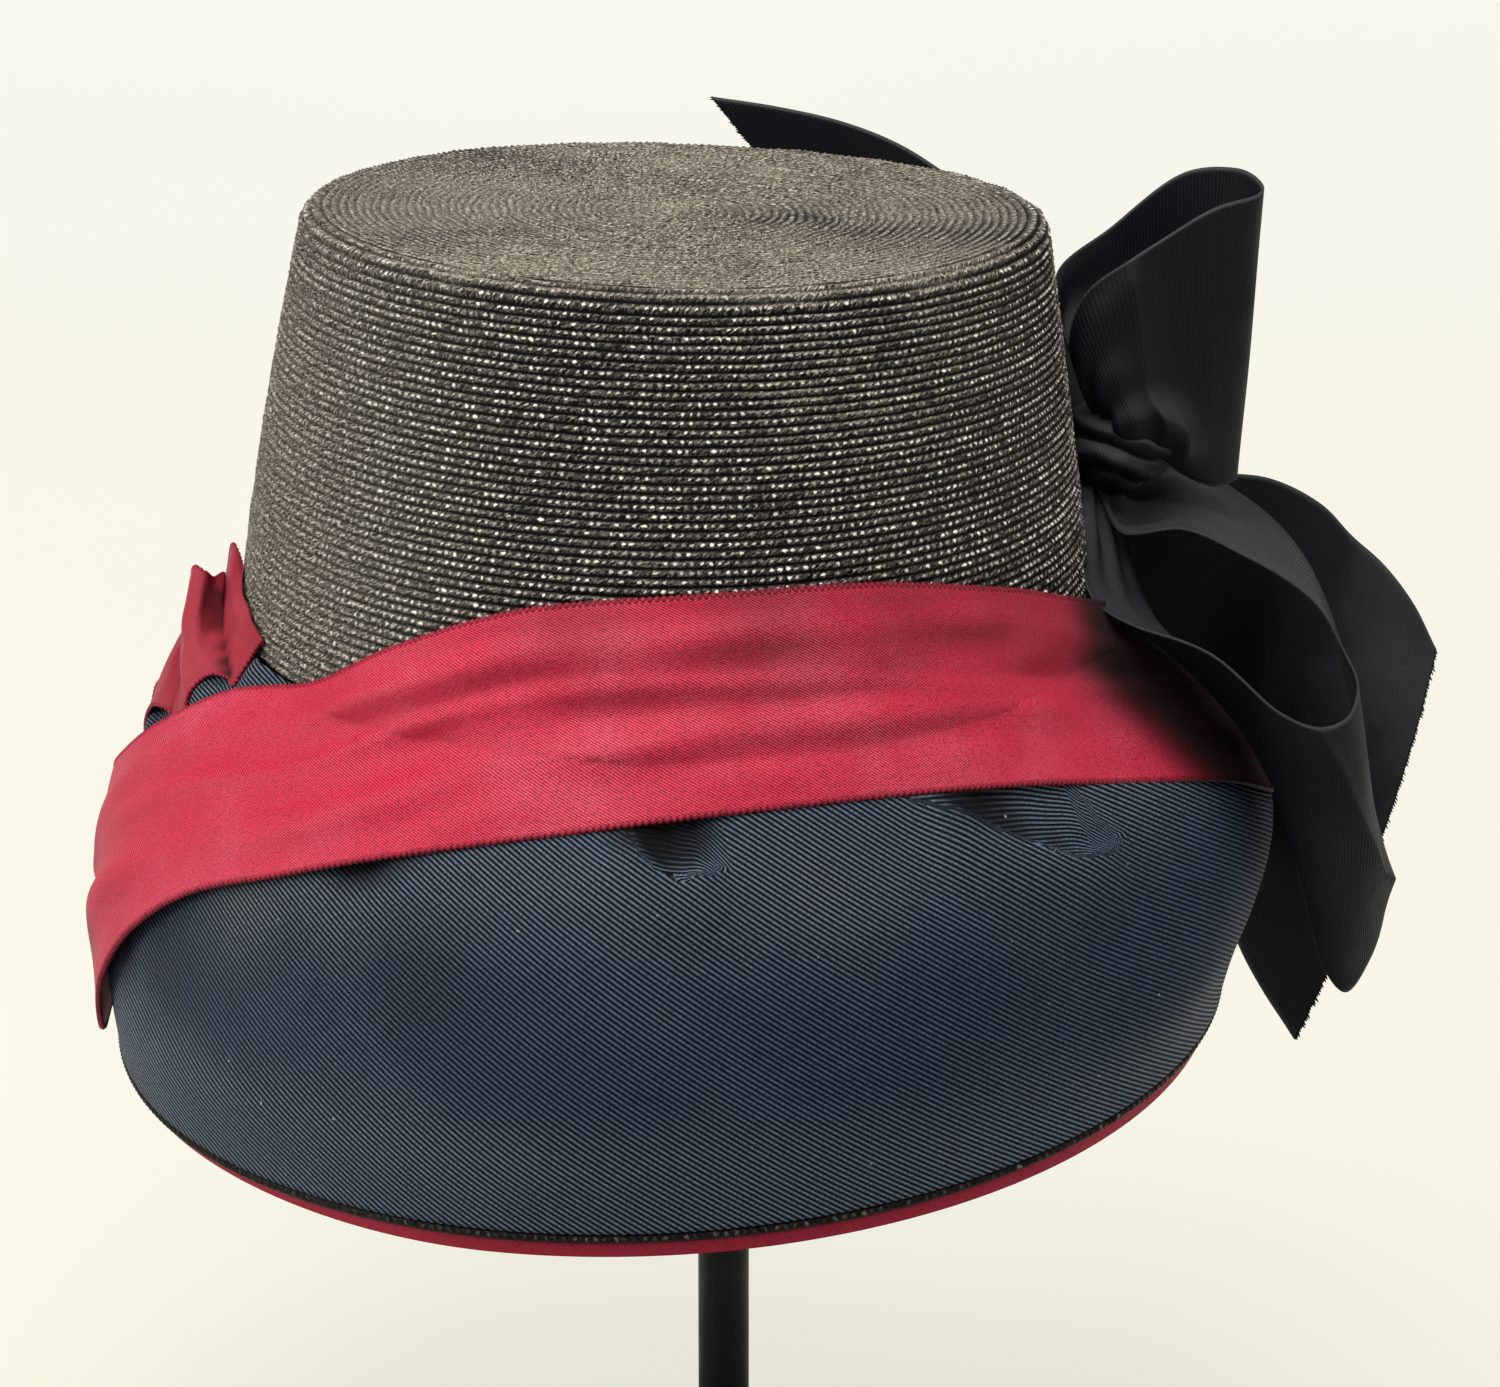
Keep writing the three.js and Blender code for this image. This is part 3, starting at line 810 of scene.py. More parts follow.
@dataclass(frozen=True)
class PaintFinish:
    """Black paint on the stand, a little uneven and rubbed."""

    name: str
    base: Colour = srgb(6, 6, 7)
    rubbed: Colour = srgb(20, 19, 19)
    roughness: float = 0.45

    def material(self) -> bpy.types.Material:
        """Makes the finish.

        Returns:
            The material, on the object's own coordinates.
        """
        board = NodeBoard(self.name)
        cloud = board.noise(board.place(), 35.0, 5.0, 0.6)
        grain = board.noise(board.place(), 900.0, 2.0)
        body = board.tint(self.base, self.rubbed, cloud, 0.5, 0.8, 0, 0.6)
        board.bump(grain, 0.15, 0.0002)
        rough = board.range(cloud, 0.3, 0.7, self.roughness - 0.08, self.roughness + 0.12)
        board.settle(Base_Color=body, Roughness=rough, Specular_IOR_Level=0.15)
        return board.material


def linked(name: str, data: bpy.types.ID) -> bpy.types.Object:
    """Puts data in the scene as an object.

    Args:
        name: Name of the object.
        data: Its mesh, light or camera.

    Returns:
        The new object.
    """
    piece = bpy.data.objects.new(name, data)
    bpy.context.scene.collection.objects.link(piece)
    return piece


def meshed(name: str, maker: bmesh.types.BMesh) -> bpy.types.Mesh:
    """Makes a smooth mesh of a finished bmesh and frees that.

    Args:
        name: Name of the mesh.
        maker: The bmesh.

    Returns:
        The new mesh.
    """
    mesh = bpy.data.meshes.new(name)
    maker.to_mesh(mesh)
    maker.free()
    mesh.shade_smooth()
    return mesh


def corner_points(mesh: bpy.types.Mesh) -> Array:
    """Lists which point is at each corner of a mesh's faces.

    Args:
        mesh: The mesh.

    Returns:
        One number for each corner.
    """
    corners = np.empty(len(mesh.loops), np.int32)
    mesh.loops.foreach_get("vertex_index", corners)
    return corners


def write_pattern(mesh: bpy.types.Mesh, chart: Array) -> None:
    """Writes the pattern coordinates of each corner of a mesh's faces."""
    layer = mesh.uv_layers.new(name=PATTERN_MAP)
    layer.data.foreach_set("uv", chart.astype(np.float32).ravel())


def flat_chart(length: float, width: float, u: Array, v: Array, _middle: Array) -> Array:
    """Gives the millimetres along and across a flat cloth."""
    return np.stack([u * length, v * width], -1)


@dataclass(frozen=True)
class Cording:
    """A beaded cord: its radius and one stitch's length, in millimetres, and its faces along."""

    radius: float
    stitch: float
    columns: int


@dataclass
class GridMaker:
    """Makes shaped grid meshes in the part's frame."""

    form: BonnetForm

    def grid(
        self,
        name: str,
        columns: int,
        rows: int,
        face: Face,
        chart: Chart,
        seam: Seam = Seam.OPEN,
        flip: bool = False,
    ) -> bpy.types.Object:
        """Makes one grid and shapes it.

        Args:
            name: Name of the piece.
            columns: Faces along the first share.
            rows: Faces along the second share.
            face: Points in the bonnet's frame for two shares from 0 to 1.
            chart: Pattern coordinates for two shares and the second share of the middle of a face.
            seam: Whether the first and last columns are joined.
            flip: Whether the faces are turned round.

        Returns:
            The new object.
        """
        maker = bmesh.new()
        bmesh.ops.create_grid(maker, x_segments=columns, y_segments=rows, size=0.5)
        shares = np.array([vert.co[:2] for vert in maker.verts]) + 0.5
        points = self.form.placed(face(shares[:, 0], shares[:, 1]))
        for vert, point in zip(maker.verts, points):
            vert.co = point
        if flip:
            bmesh.ops.reverse_faces(maker, faces=maker.faces)
        mesh = bpy.data.meshes.new(name)
        maker.to_mesh(mesh)
        self.map_pattern(mesh, shares, chart)
        if seam is Seam.WELDED:
            maker.clear()
            maker.from_mesh(mesh)
            bmesh.ops.remove_doubles(maker, verts=maker.verts, dist=WELD_GAP)
            maker.to_mesh(mesh)
        maker.free()
        mesh.shade_smooth()
        return linked(name, mesh)

    @staticmethod
    def map_pattern(mesh: bpy.types.Mesh, shares: Array, chart: Chart) -> None:
        """Gives each corner of a grid's faces its pattern coordinates.

        Args:
            mesh: The grid's mesh.
            shares: Both shares of each point.
            chart: The grid's pattern.
        """
        held = shares[corner_points(mesh)]
        middles = np.repeat(held[:, 1].reshape(-1, 4).mean(axis=1), 4)
        write_pattern(mesh, chart(held[:, 0], held[:, 1], middles))

    @staticmethod
    def thicken(piece: bpy.types.Object, thickness: float, offset: float = 0.0) -> None:
        """Gives a sheet its thickness, in millimetres, about its face or to one side of it.

        Args:
            piece: The sheet.
            thickness: Its thickness, in millimetres.
            offset: 0 for a wall about the face, -1 for one inside it.
        """
        wall = piece.modifiers.new("thickness", "SOLIDIFY")
        wall.thickness = thickness * METRE
        wall.offset = offset
        wall.use_even_offset = False

    def cord(self, name: str, face: Face, edge: float, cording: Cording) -> bpy.types.Object:
        """Makes a beaded cord along one edge of a cloth face.

        Args:
            name: Name of the piece.
            face: The cloth's face.
            edge: Second share at which the cord runs.
            cording: The kind of cord.

        Returns:
            The new object.
        """
        sample = np.linspace(0, 1, CORD_SAMPLES)
        line = face(sample, np.full(CORD_SAMPLES, edge))
        lengths = np.concatenate([[0], np.cumsum(np.linalg.norm(np.diff(line, axis=0), axis=1))])
        inner = 0.02 if edge < 0.5 else 0.98

        def tube(u: Array, v: Array) -> Array:
            """Gives points of the cord.

            Args:
                u: Share along the cord.
                v: Share round it.

            Returns:
                Points in the bonnet's frame.
            """
            at = np.full(u.shape, edge)
            middle = face(u, at)
            out = unit(middle - face(u, np.full(u.shape, inner)))
            lift = face_normal(face, u, at)
            stitch = np.abs(np.sin(math.pi * np.interp(u, sample, lengths) / cording.stitch))
            wide = cording.radius * (0.6 + 0.7 * stitch)
            turn = 2 * math.pi * v
            return middle + wide[:, None] * (np.cos(turn)[:, None] * out + np.sin(turn)[:, None] * lift)

        def chart(u: Array, v: Array, _middle: Array) -> Array:
            """Gives one thread of the weave for each stitch."""
            stitches = np.interp(u, sample, lengths) / cording.stitch - 0.5
            return np.stack([stitches * TWILL_PITCH, 0.1 * v], -1)

        return self.grid(name, cording.columns, CORD_SIDES, tube, chart, Seam.WELDED)


def settle(
    piece: bpy.types.Object, material: bpy.types.Material, node: Optional[str] = None
) -> None:
    """Dresses a piece and tells the frame where it belongs.

    Args:
        piece: The finished piece.
        material: The finish.
        node: CAD node that it replaces, if any.
    """
    piece.data.materials.append(material)
    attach(piece, "root")
    if node:
        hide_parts(node)
    LOG.info("%s: %d faces", piece.name, len(piece.data.polygons))


def corded(
    maker: GridMaker, name: str, face: Face, cording: Cording, material: bpy.types.Material
) -> list[bpy.types.Object]:
    """Makes and dresses the cords along both edges of a crimson cloth.

    Args:
        maker: Maker of the grids.
        name: Name of the cloth.
        face: The cloth's face.
        cording: The kind of cord.
        material: The cords' finish.

    Returns:
        Both cords.
    """
    cords = []
    for side, edge in (("top", 0.0), ("low", 1.0)):
        cord = maker.cord(f"{name}_{side}_cord", face, edge, cording)
        settle(cord, material)
        cords.append(cord)
    return cords


@dataclass
class StrawCrown:
    """The crown, sewn from rows of plait, with its flat tip as a piece of its own."""

    maker: GridMaker
    finish: StrawFinish
    wall: float = 2.0
    shoulder_rows: int = 3
    side_rows: int = 47
    tip_rows: int = 41
    row_steps: int = 3
    beads: int = 310
    row_swell: float = 0.5
    bead_swell: float = 0.18
    sunk: float = 0.1
    uneven: float = 0.12
    uneven_girth: float = 90.0
    uneven_rise: float = 2.0
    uneven_length: float = 14.0
    inner_steps: int = 6
    tip_columns: int = 300
    tip_steps: int = 4
    tip_pitch: float = 1.75
    tip_swell: float = 0.34
    tip_stray: float = 0.022
    tip_uneven: float = 0.22
    tip_chart: float = 80.0
    stray_chart: float = 60.0
    ring_shift: float = 0.37
    least_beads: int = 4
    dent_stretch: float = 1.6
    dent_depth: float = 0.7
    dents: Table = ((-31.0, 82.0, 3.0), (-26.0, 84.0, 2.4), (24.0, 61.0, 1.6))

    def side(self) -> bpy.types.Object:
        """Builds the side from lapped rows, then goes round the base and up the inner wall.

        Returns:
            The side.
        """
        form = self.maker.form
        shoulder = self.shoulder_rows * self.row_steps
        outer = shoulder + self.side_rows * self.row_steps
        total = outer + self.inner_steps
        stops = [0, shoulder, outer, outer + 1, total - 2, total]
        places = [1, 2, 3, 3, 1, 0]
        insets = [0, 0, 0, self.wall, self.wall, self.wall]
        random = np.random.default_rng(3)
        strength = random.uniform(0.3, 1.4, (total + 1, self.beads + 1))

        def face(u: Array, v: Array) -> Array:
            """Points of the wall, whose beads lean by half a bead in each row.

            Args:
                u: Share round the crown.
                v: Share down the outer wall and up the inner one.

            Returns:
                Points in the bonnet's frame.
            """
            step = np.rint(v * total)
            bead = u * self.beads
            row = step / self.row_steps
            angle = 2 * math.pi * (bead - row / 2) / self.beads + math.pi
            hump = np.interp(row % 1, [0, 0.75, 1], [0, 1, 0]) ** 0.8
            own = strength[step.astype(int), np.rint(bead).astype(int) % self.beads]
            lump = np.cos(2 * math.pi * bead) * own
            relief = hump * (self.row_swell + self.bead_swell * lump) - self.sunk
            along = angle * self.uneven_girth
            relief = relief + self.uneven * ripples(along, row * self.uneven_rise, self.uneven_length, 5)
            place = np.interp(step, stops, places)
            height = (3 - place) * form.height
            for turn, level, size in self.dents:
                aside = (np.degrees(angle - 2 * math.pi) - turn) * self.dent_stretch
                away = np.hypot(aside, height - level)
                relief = relief - self.dent_depth * np.exp(-((away / size) ** 2)) * hump
            inset = np.interp(step, stops, insets) - np.where(step <= outer, relief, 0)
            return form.crown_point(angle, place, inset)

        def chart(u: Array, v: Array, _middle: Array) -> Array:
            """Counts of beads and rows."""
            return np.stack([u * self.beads, v * total / self.row_steps], -1)

        return self.maker.grid("crown_side", self.beads * 2, total, face, chart, Seam.WELDED, flip=True)

    def tip(self) -> bpy.types.Object:
        """Builds the flat tip from rings of finer rows.

        Returns:
            The tip.
        """
        form = self.maker.form
        total = self.tip_rows * self.tip_steps
        reach = form.tip_across - form.shoulder

        def face(u: Array, v: Array) -> Array:
            """Gives points of the tip.

            Args:
                u: Share round the tip.
                v: Share from its centre to its edge.

            Returns:
                Points in the bonnet's frame.
            """
            angle = around(u)
            row = v * self.tip_rows
            hump = np.sin(math.pi * (row % 1)) ** 0.7
            ahead = np.cos(angle) * v
            aside = np.sin(angle) * v
            uneven = self.tip_uneven * ripples(ahead * self.tip_chart, aside * self.tip_chart, 9, 8)
            relief = self.tip_swell * hump * (1 + 0.5 * uneven) - self.sunk + uneven * np.sin(math.pi * v)
            stray = self.tip_stray * ripples(ahead * self.stray_chart, aside * self.stray_chart, 11, 6)
            return form.crown_point(angle, v + stray * v * (1 - v), -relief)

        def chart(u: Array, v: Array, middle: Array) -> Array:
            """Counts of beads, whole in each ring, and of rows.

            Args:
                u: Share round the tip.
                v: Share from its centre.
                middle: That of the face's middle.

            Returns:
                Pattern coordinates.
            """
            ring = np.floor(middle * self.tip_rows)
            beads = np.rint(2 * math.pi * reach * (ring + 0.5) / self.tip_rows / self.tip_pitch)
            count = u * np.maximum(beads, self.least_beads) + ring * self.ring_shift
            return np.stack([count, v * self.tip_rows], -1)

        return self.maker.grid("crown_tip", self.tip_columns, total, face, chart, Seam.WELDED, flip=True)

    def build(self) -> None:
        """Builds and dresses the crown."""
        material = self.finish.material()
        settle(self.side(), material, "crown")
        settle(self.tip(), material)


@dataclass
class StrawBrim:
    """The brim's straw foundation, whose last row of plait shows at the rim."""

    maker: GridMaker
    finish: StrawFinish
    inset: float = 1.3
    wall: float = 2.0
    start: float = -0.5
    braid: float = 2.8
    beads: int = 380
    rows: int = 30
    outer_rows: int = 10
    braid_rows: int = 8
    braid_swell: float = 1.25
    bead_swell: float = 0.22
    row_counts: Sequence[float] = (0, 40, 41, 80)

    def build(self) -> None:
        """Builds and dresses the brim."""
        form = self.maker.form
        outer_end = self.outer_rows
        braid_end = outer_end + self.braid_rows
        stops = [0, outer_end, braid_end, braid_end + 2, self.rows - 1, self.rows]
        downs = [0.0, 0.0, 1.0, 1.0, 0.0, 0.0]

        def face(u: Array, v: Array) -> Array:
            """Gives points of the shell: down its outer face, round the braid and up its inner face.

            Args:
                u: Share round the brim.
                v: Share of the way down and up.

            Returns:
                Points in the bonnet's frame.
            """
            angle = around(u)
            step = np.rint(v * self.rows)
            rim = form.rim_depth(angle)
            edge = rim - self.braid
            outer = np.interp(step, [0, outer_end], [0, 1])
            braided = np.interp(step, stops, downs)
            depth = np.where(step <= outer_end, mix(self.start, edge, outer), mix(edge, rim, braided))
            inner = step > braid_end + 1
            depth = np.where(inner, mix(self.start, rim, np.interp(step, stops[3:5], [1, 0])), depth)
            hump = np.sin(math.pi * np.where((step > outer_end) & ~inner, braided, 0)) ** 0.7
            lump = self.bead_swell * np.cos(2 * math.pi * u * self.beads)
            off = -self.inset + hump * (self.braid_swell + lump)
            off = np.where(inner | (step > self.rows - 2), -self.inset - self.wall, off)
            return form.off_bell(angle, depth, off)

        def chart(u: Array, v: Array, _middle: Array) -> Array:
            """Counts of beads and rows, with one row on the braid."""
            counts = np.interp(v * self.rows, [0, outer_end, braid_end, self.rows], self.row_counts)
            return np.stack([u * self.beads, counts], -1)

        piece = self.maker.grid("brim_braid", self.beads * 2, self.rows, face, chart, Seam.WELDED, flip=True)
        settle(piece, self.finish.material(), "brim")


@dataclass(frozen=True)
class Tuck:
    """A lip of the silk with a pocket above it.

    The path is a row of angles and depths. Then come the lip's height, its reach below and above, and how far
    into the pocket the ribs are pulled level.
    """

    path: Table
    height: float
    soft: float
    sharp: float
    pull: float


@dataclass
class SilkCover:
    """The silk drawn over the brim, with two tucks under the ribbon and puffs at the back left."""

    maker: GridMaker
    finish: SilkFinish
    columns: int = 420
    rows: int = 96
    hem: float = 2.6
    start: float = 0.3
    ease: float = 2.4
    ease_top: float = 9.0
    ease_rim: float = 22.0
    arc: float = 112.0
    stretch: float = 1.08
    calm_opposite: float = math.radians(25)
    calm_reach: Sequence[float] = (math.radians(95), math.radians(80))
    calm_levels: Sequence[float] = (48.0, 32.0)
    calm_share: float = 0.7
    slack: float = 0.9
    slack_length: float = 52.0
    front_crowd: float = 0.09
    rib_tilt: float = math.radians(19)
    rib_level: float = -85.0
    rib_count: float = 0.86
    rib_fan: float = 0.0011
    rib_slopes: Sequence[float] = (0.585, -0.0019, 1.25e-5, -1.6e-7)
    dimples: Table = ((1.0, 15.0, 9.0), (40.0, 17.0, 9.0), (46.0, 23.0, 9.0), (-35.0, 24.0, 7.0))
    shade_patches: Table = (
        # angle and depth of a spot of painted shade, its reach and how dark it is
        (-35.5, 23.0, 11, 1.0), (-32.0, 21.0, 11, 1.0), (-28.5, 19.0, 8, 0.8), (-70.0, 60.0, 14, 0.8),
        (-60.0, 58.0, 20, 0.35), (-24.0, 43.0, 20, 0.25), (-3.2, 14.0, 10, 1.0), (-0.5, 13.0, 11, 1.0),
        (2.5, 12.8, 10, 0.8), (-1.8, 16.8, 7, 0.7), (1.2, 16.8, 6, 0.5), (-2.2, 18.5, 3.5, 0.7),
        (-0.8, 20.8, 3.5, 0.6), (1.2, 21.2, 3, 0.4), (34.0, 15.0, 10, 1.0), (36.8, 14.0, 11, 1.0),
        (39.5, 18.5, 10, 0.8), (41.2, 22.2, 7, 0.6), (45.0, 26.2, 6, 0.6), (33.2, 16.2, 4, 0.6),
        (36.8, 20.0, 4, 0.7), (39.8, 23.5, 4, 0.7), (43.0, 26.8, 4, 0.7), (46.5, 29.5, 3.5, 0.6),
        (49.8, 30.8, 3.5, 0.5),
    )
    worn_and_lit: Table = (
        # angle and depth of a paler spot, its reach and strength: worn and dusty cloth, and at (-48, 36) and
        # (-35, 34) painted light on the lit silk below the ribbon
        (14.0, 22.0, 16, 0.3), (18.0, 27.0, 20, 0.35), (0.6, 20.5, 4, 0.7), (7.0, 18.5, 4, 0.6),
        (-48.0, 36.0, 26, 0.7), (-35.0, 34.0, 18, 0.4), (-66.0, 5.0, 13, 0.5), (-76.0, 13.0, 13, 0.5),
    )
    puffs: Table = field(default_factory=lambda: (
        (-64.5, 3.0), (-75.0, 11.5), *((-92.0 - 13 * step, 29.0) for step in range(12))))
    puff_height: float = 3.4
    puff_size: float = 6.5
    tucks: Sequence[Tuck] = (
        Tuck(
            ((-5, 12), (-3.5, 15.8), (-2.2, 18.5), (-0.8, 20.8), (1.2, 21.4), (4, 20.5), (7, 19)),
            3.8, 9.0, 1.6, 11.0),
        Tuck(
            ((28, 11.5), (31.5, 14.5), (35, 18), (39.8, 23.5), (43, 26.8), (46.5, 29.5), (49.8, 30.8),
             (52.5, 30.2), (55, 28)),
            3.8, 9.0, 1.5, 16.0),
    )

    def spread(self, angle: Array, depth: Array) -> tuple[Array, Array]:
        """Lays the cover flat: millimetres round from the front and down from the crown."""
        turned = (angle + math.pi) % (2 * math.pi) - math.pi
        return turned * self.arc, depth * self.stretch

    def tucked(self, tuck: Tuck, across: Array, down: Array) -> tuple[Array, Array]:
        """Gives the distance from a tuck's lip, less than 0 in its pocket, and the share along it."""
        path = [(math.radians(turn) * self.arc, level * self.stretch) for turn, level in tuck.path]
        return path_distance(across, down, path)

    def fullness(self, angle: Array, depth: Array) -> Array:
        """Gives how far the silk stands off the brim.

        Args:
            angle: Angle round the brim.
            depth: Depth below the crown's base.

        Returns:
            Distance off the bell.
        """
        across, down = self.spread(angle, depth)
        rim = self.maker.form.rim_depth(angle)
        ease = self.ease * smoothstep(depth, 0, self.ease_top) * smoothstep(rim - depth, 0, self.ease_rim)
        behind = np.abs((angle - self.calm_opposite) % (2 * math.pi) - math.pi)
        under = smoothstep(behind, *self.calm_reach) * smoothstep(depth, *self.calm_levels)
        ease = ease * (1 - self.calm_share * under)
        for turn, level, size in self.dimples:
            away = np.hypot(across - math.radians(turn) * self.arc, depth - level)
            ease = ease * (1 - np.exp(-((away / size) ** 2)))
        for tuck in self.tucks:
            away, share = self.tucked(tuck, across, down)
            fade = smoothstep(share, 0, 0.25) * smoothstep(1 - share, 0, 0.3)
            reach = np.where(away > 0, tuck.soft, tuck.sharp)
            ease = ease + tuck.height * np.exp(-((away / reach) ** 2)) * fade
        puffed = np.zeros_like(ease)
        for turn, level in self.puffs:
            centre = (math.radians(turn) + math.pi) % (2 * math.pi) - math.pi
            away = np.hypot(across - centre * self.arc, depth - level)
            puffed = np.maximum(puffed, self.puff_height * np.exp(-((away / self.puff_size) ** 2)))
        slack = self.slack * ripples(across * 0.7 + down * 0.5, down, self.slack_length, 21)
        slack = slack * smoothstep(depth, 6, 30) * smoothstep(rim - depth, 0, 20)
        return np.maximum(ease + np.maximum(slack, -ease * 0.8), puffed)

    def at(self, u: Array, v: Array) -> tuple[Array, Array]:
        """Gives the angle and the depth at two shares."""
        angle = around(u) + 2 * math.pi * self.front_crowd * np.sin(2 * math.pi * u)
        return angle, mix(self.start, self.maker.form.rim_depth(angle) - self.hem, v)

    def face(self, u: Array, v: Array) -> Array:
        """Gives points of the silk's outer face."""
        angle, depth = self.at(u, v)
        return self.maker.form.off_bell(angle, depth, self.fullness(angle, depth))

    def chart(self, u: Array, v: Array, _middle: Array) -> Array:
        """Counts ribs, which run down towards the bow and draw together there, and measures along them.

        Args:
            u: Share round the brim.
            v: Share down it.
            _middle: Not used.

        Returns:
            Pattern coordinates.
        """
        angle, depth = self.at(u, v)
        across, deep, height = self.maker.form.bell_point(angle, depth).T
        level = deep * math.sin(self.rib_tilt) + height * math.cos(self.rib_tilt) - self.rib_level
        bent = sum(slope * across ** (power + 1) / (power + 1) for power, slope in enumerate(self.rib_slopes))
        count = (self.rib_count + self.rib_fan * across) * level + bent + 0.3 * ripples(across, level, 60, 33)
        for tuck in self.tucks:
            away, share = self.tucked(tuck, *self.spread(angle, depth))
            pull = np.where(away < 0, np.exp(-((away / tuck.pull) ** 2)), 0) * smoothstep(1 - share, 0, 0.3)
            middle = math.sin(math.radians(tuck.path[3][0])) * self.arc
            count = count - self.rib_slopes[0] * (across - middle) * pull
        return np.stack([count, across - self.rib_slopes[0] * level], -1)

    def build(self) -> None:
        """Builds and dresses the cover."""
        form = self.maker.form
        piece = self.maker.grid(
            "silk_cover", self.columns, self.rows, self.face, self.chart, Seam.WELDED, flip=True)
        self.maker.thicken(piece, 1.0, -1.0)

        def placed(spots: Table) -> Table:
            """Puts spots given by angle and depth in their place on the cover, in metres."""
            turns, levels, reaches, shares = np.array(spots).T
            return form.spots(form.bell_point(np.radians(turns), levels), reaches, shares)

        finish = replace(self.finish, shade_patches=placed(self.shade_patches), worn_and_lit=placed(self.worn_and_lit))
        settle(piece, finish.material(), "brim_cover")


@dataclass
class BrimLining:
    """The crimson lining inside the brim, whose edge shows below the braid."""

    maker: GridMaker
    finish: TwillFinish
    columns: int = 270
    rows: int = 40
    inset: float = 4.1
    hem: float = 3.4
    start: float = -0.5
    turn_out: float = 1.6
    left_short: float = 0.55
    chart_round: float = 700.0
    chart_down: float = 95.0

    def build(self) -> None:
        """Builds and dresses the lining."""
        form = self.maker.form

        def face(u: Array, v: Array) -> Array:
            """Gives points of the lining's middle.

            Args:
                u: Share round the brim.
                v: Share down it.

            Returns:
                Points in the bonnet's frame.
            """
            angle = around(u)
            left = smoothstep(-np.sin(angle), 0.3, 0.9)
            hem = self.hem * (1 - self.left_short * left) * smoothstep(v, 0.9, 1)
            depth = mix(self.start, form.rim_depth(angle), v) + hem
            soft = 0.35 * ripples(angle * 110, depth, 30, 41) * np.sin(math.pi * v)
            off = -self.inset - np.maximum(soft, 0) + self.turn_out * smoothstep(v, 0.955, 1)
            return form.off_bell(angle, depth, off)

        chart = partial(flat_chart, self.chart_round, self.chart_down)
        piece = self.maker.grid(
            "brim_lining_cloth", self.columns, self.rows, face, chart, Seam.WELDED, flip=True)
        self.maker.thicken(piece, 1.0)
        settle(piece, self.finish.material(), "brim_lining")


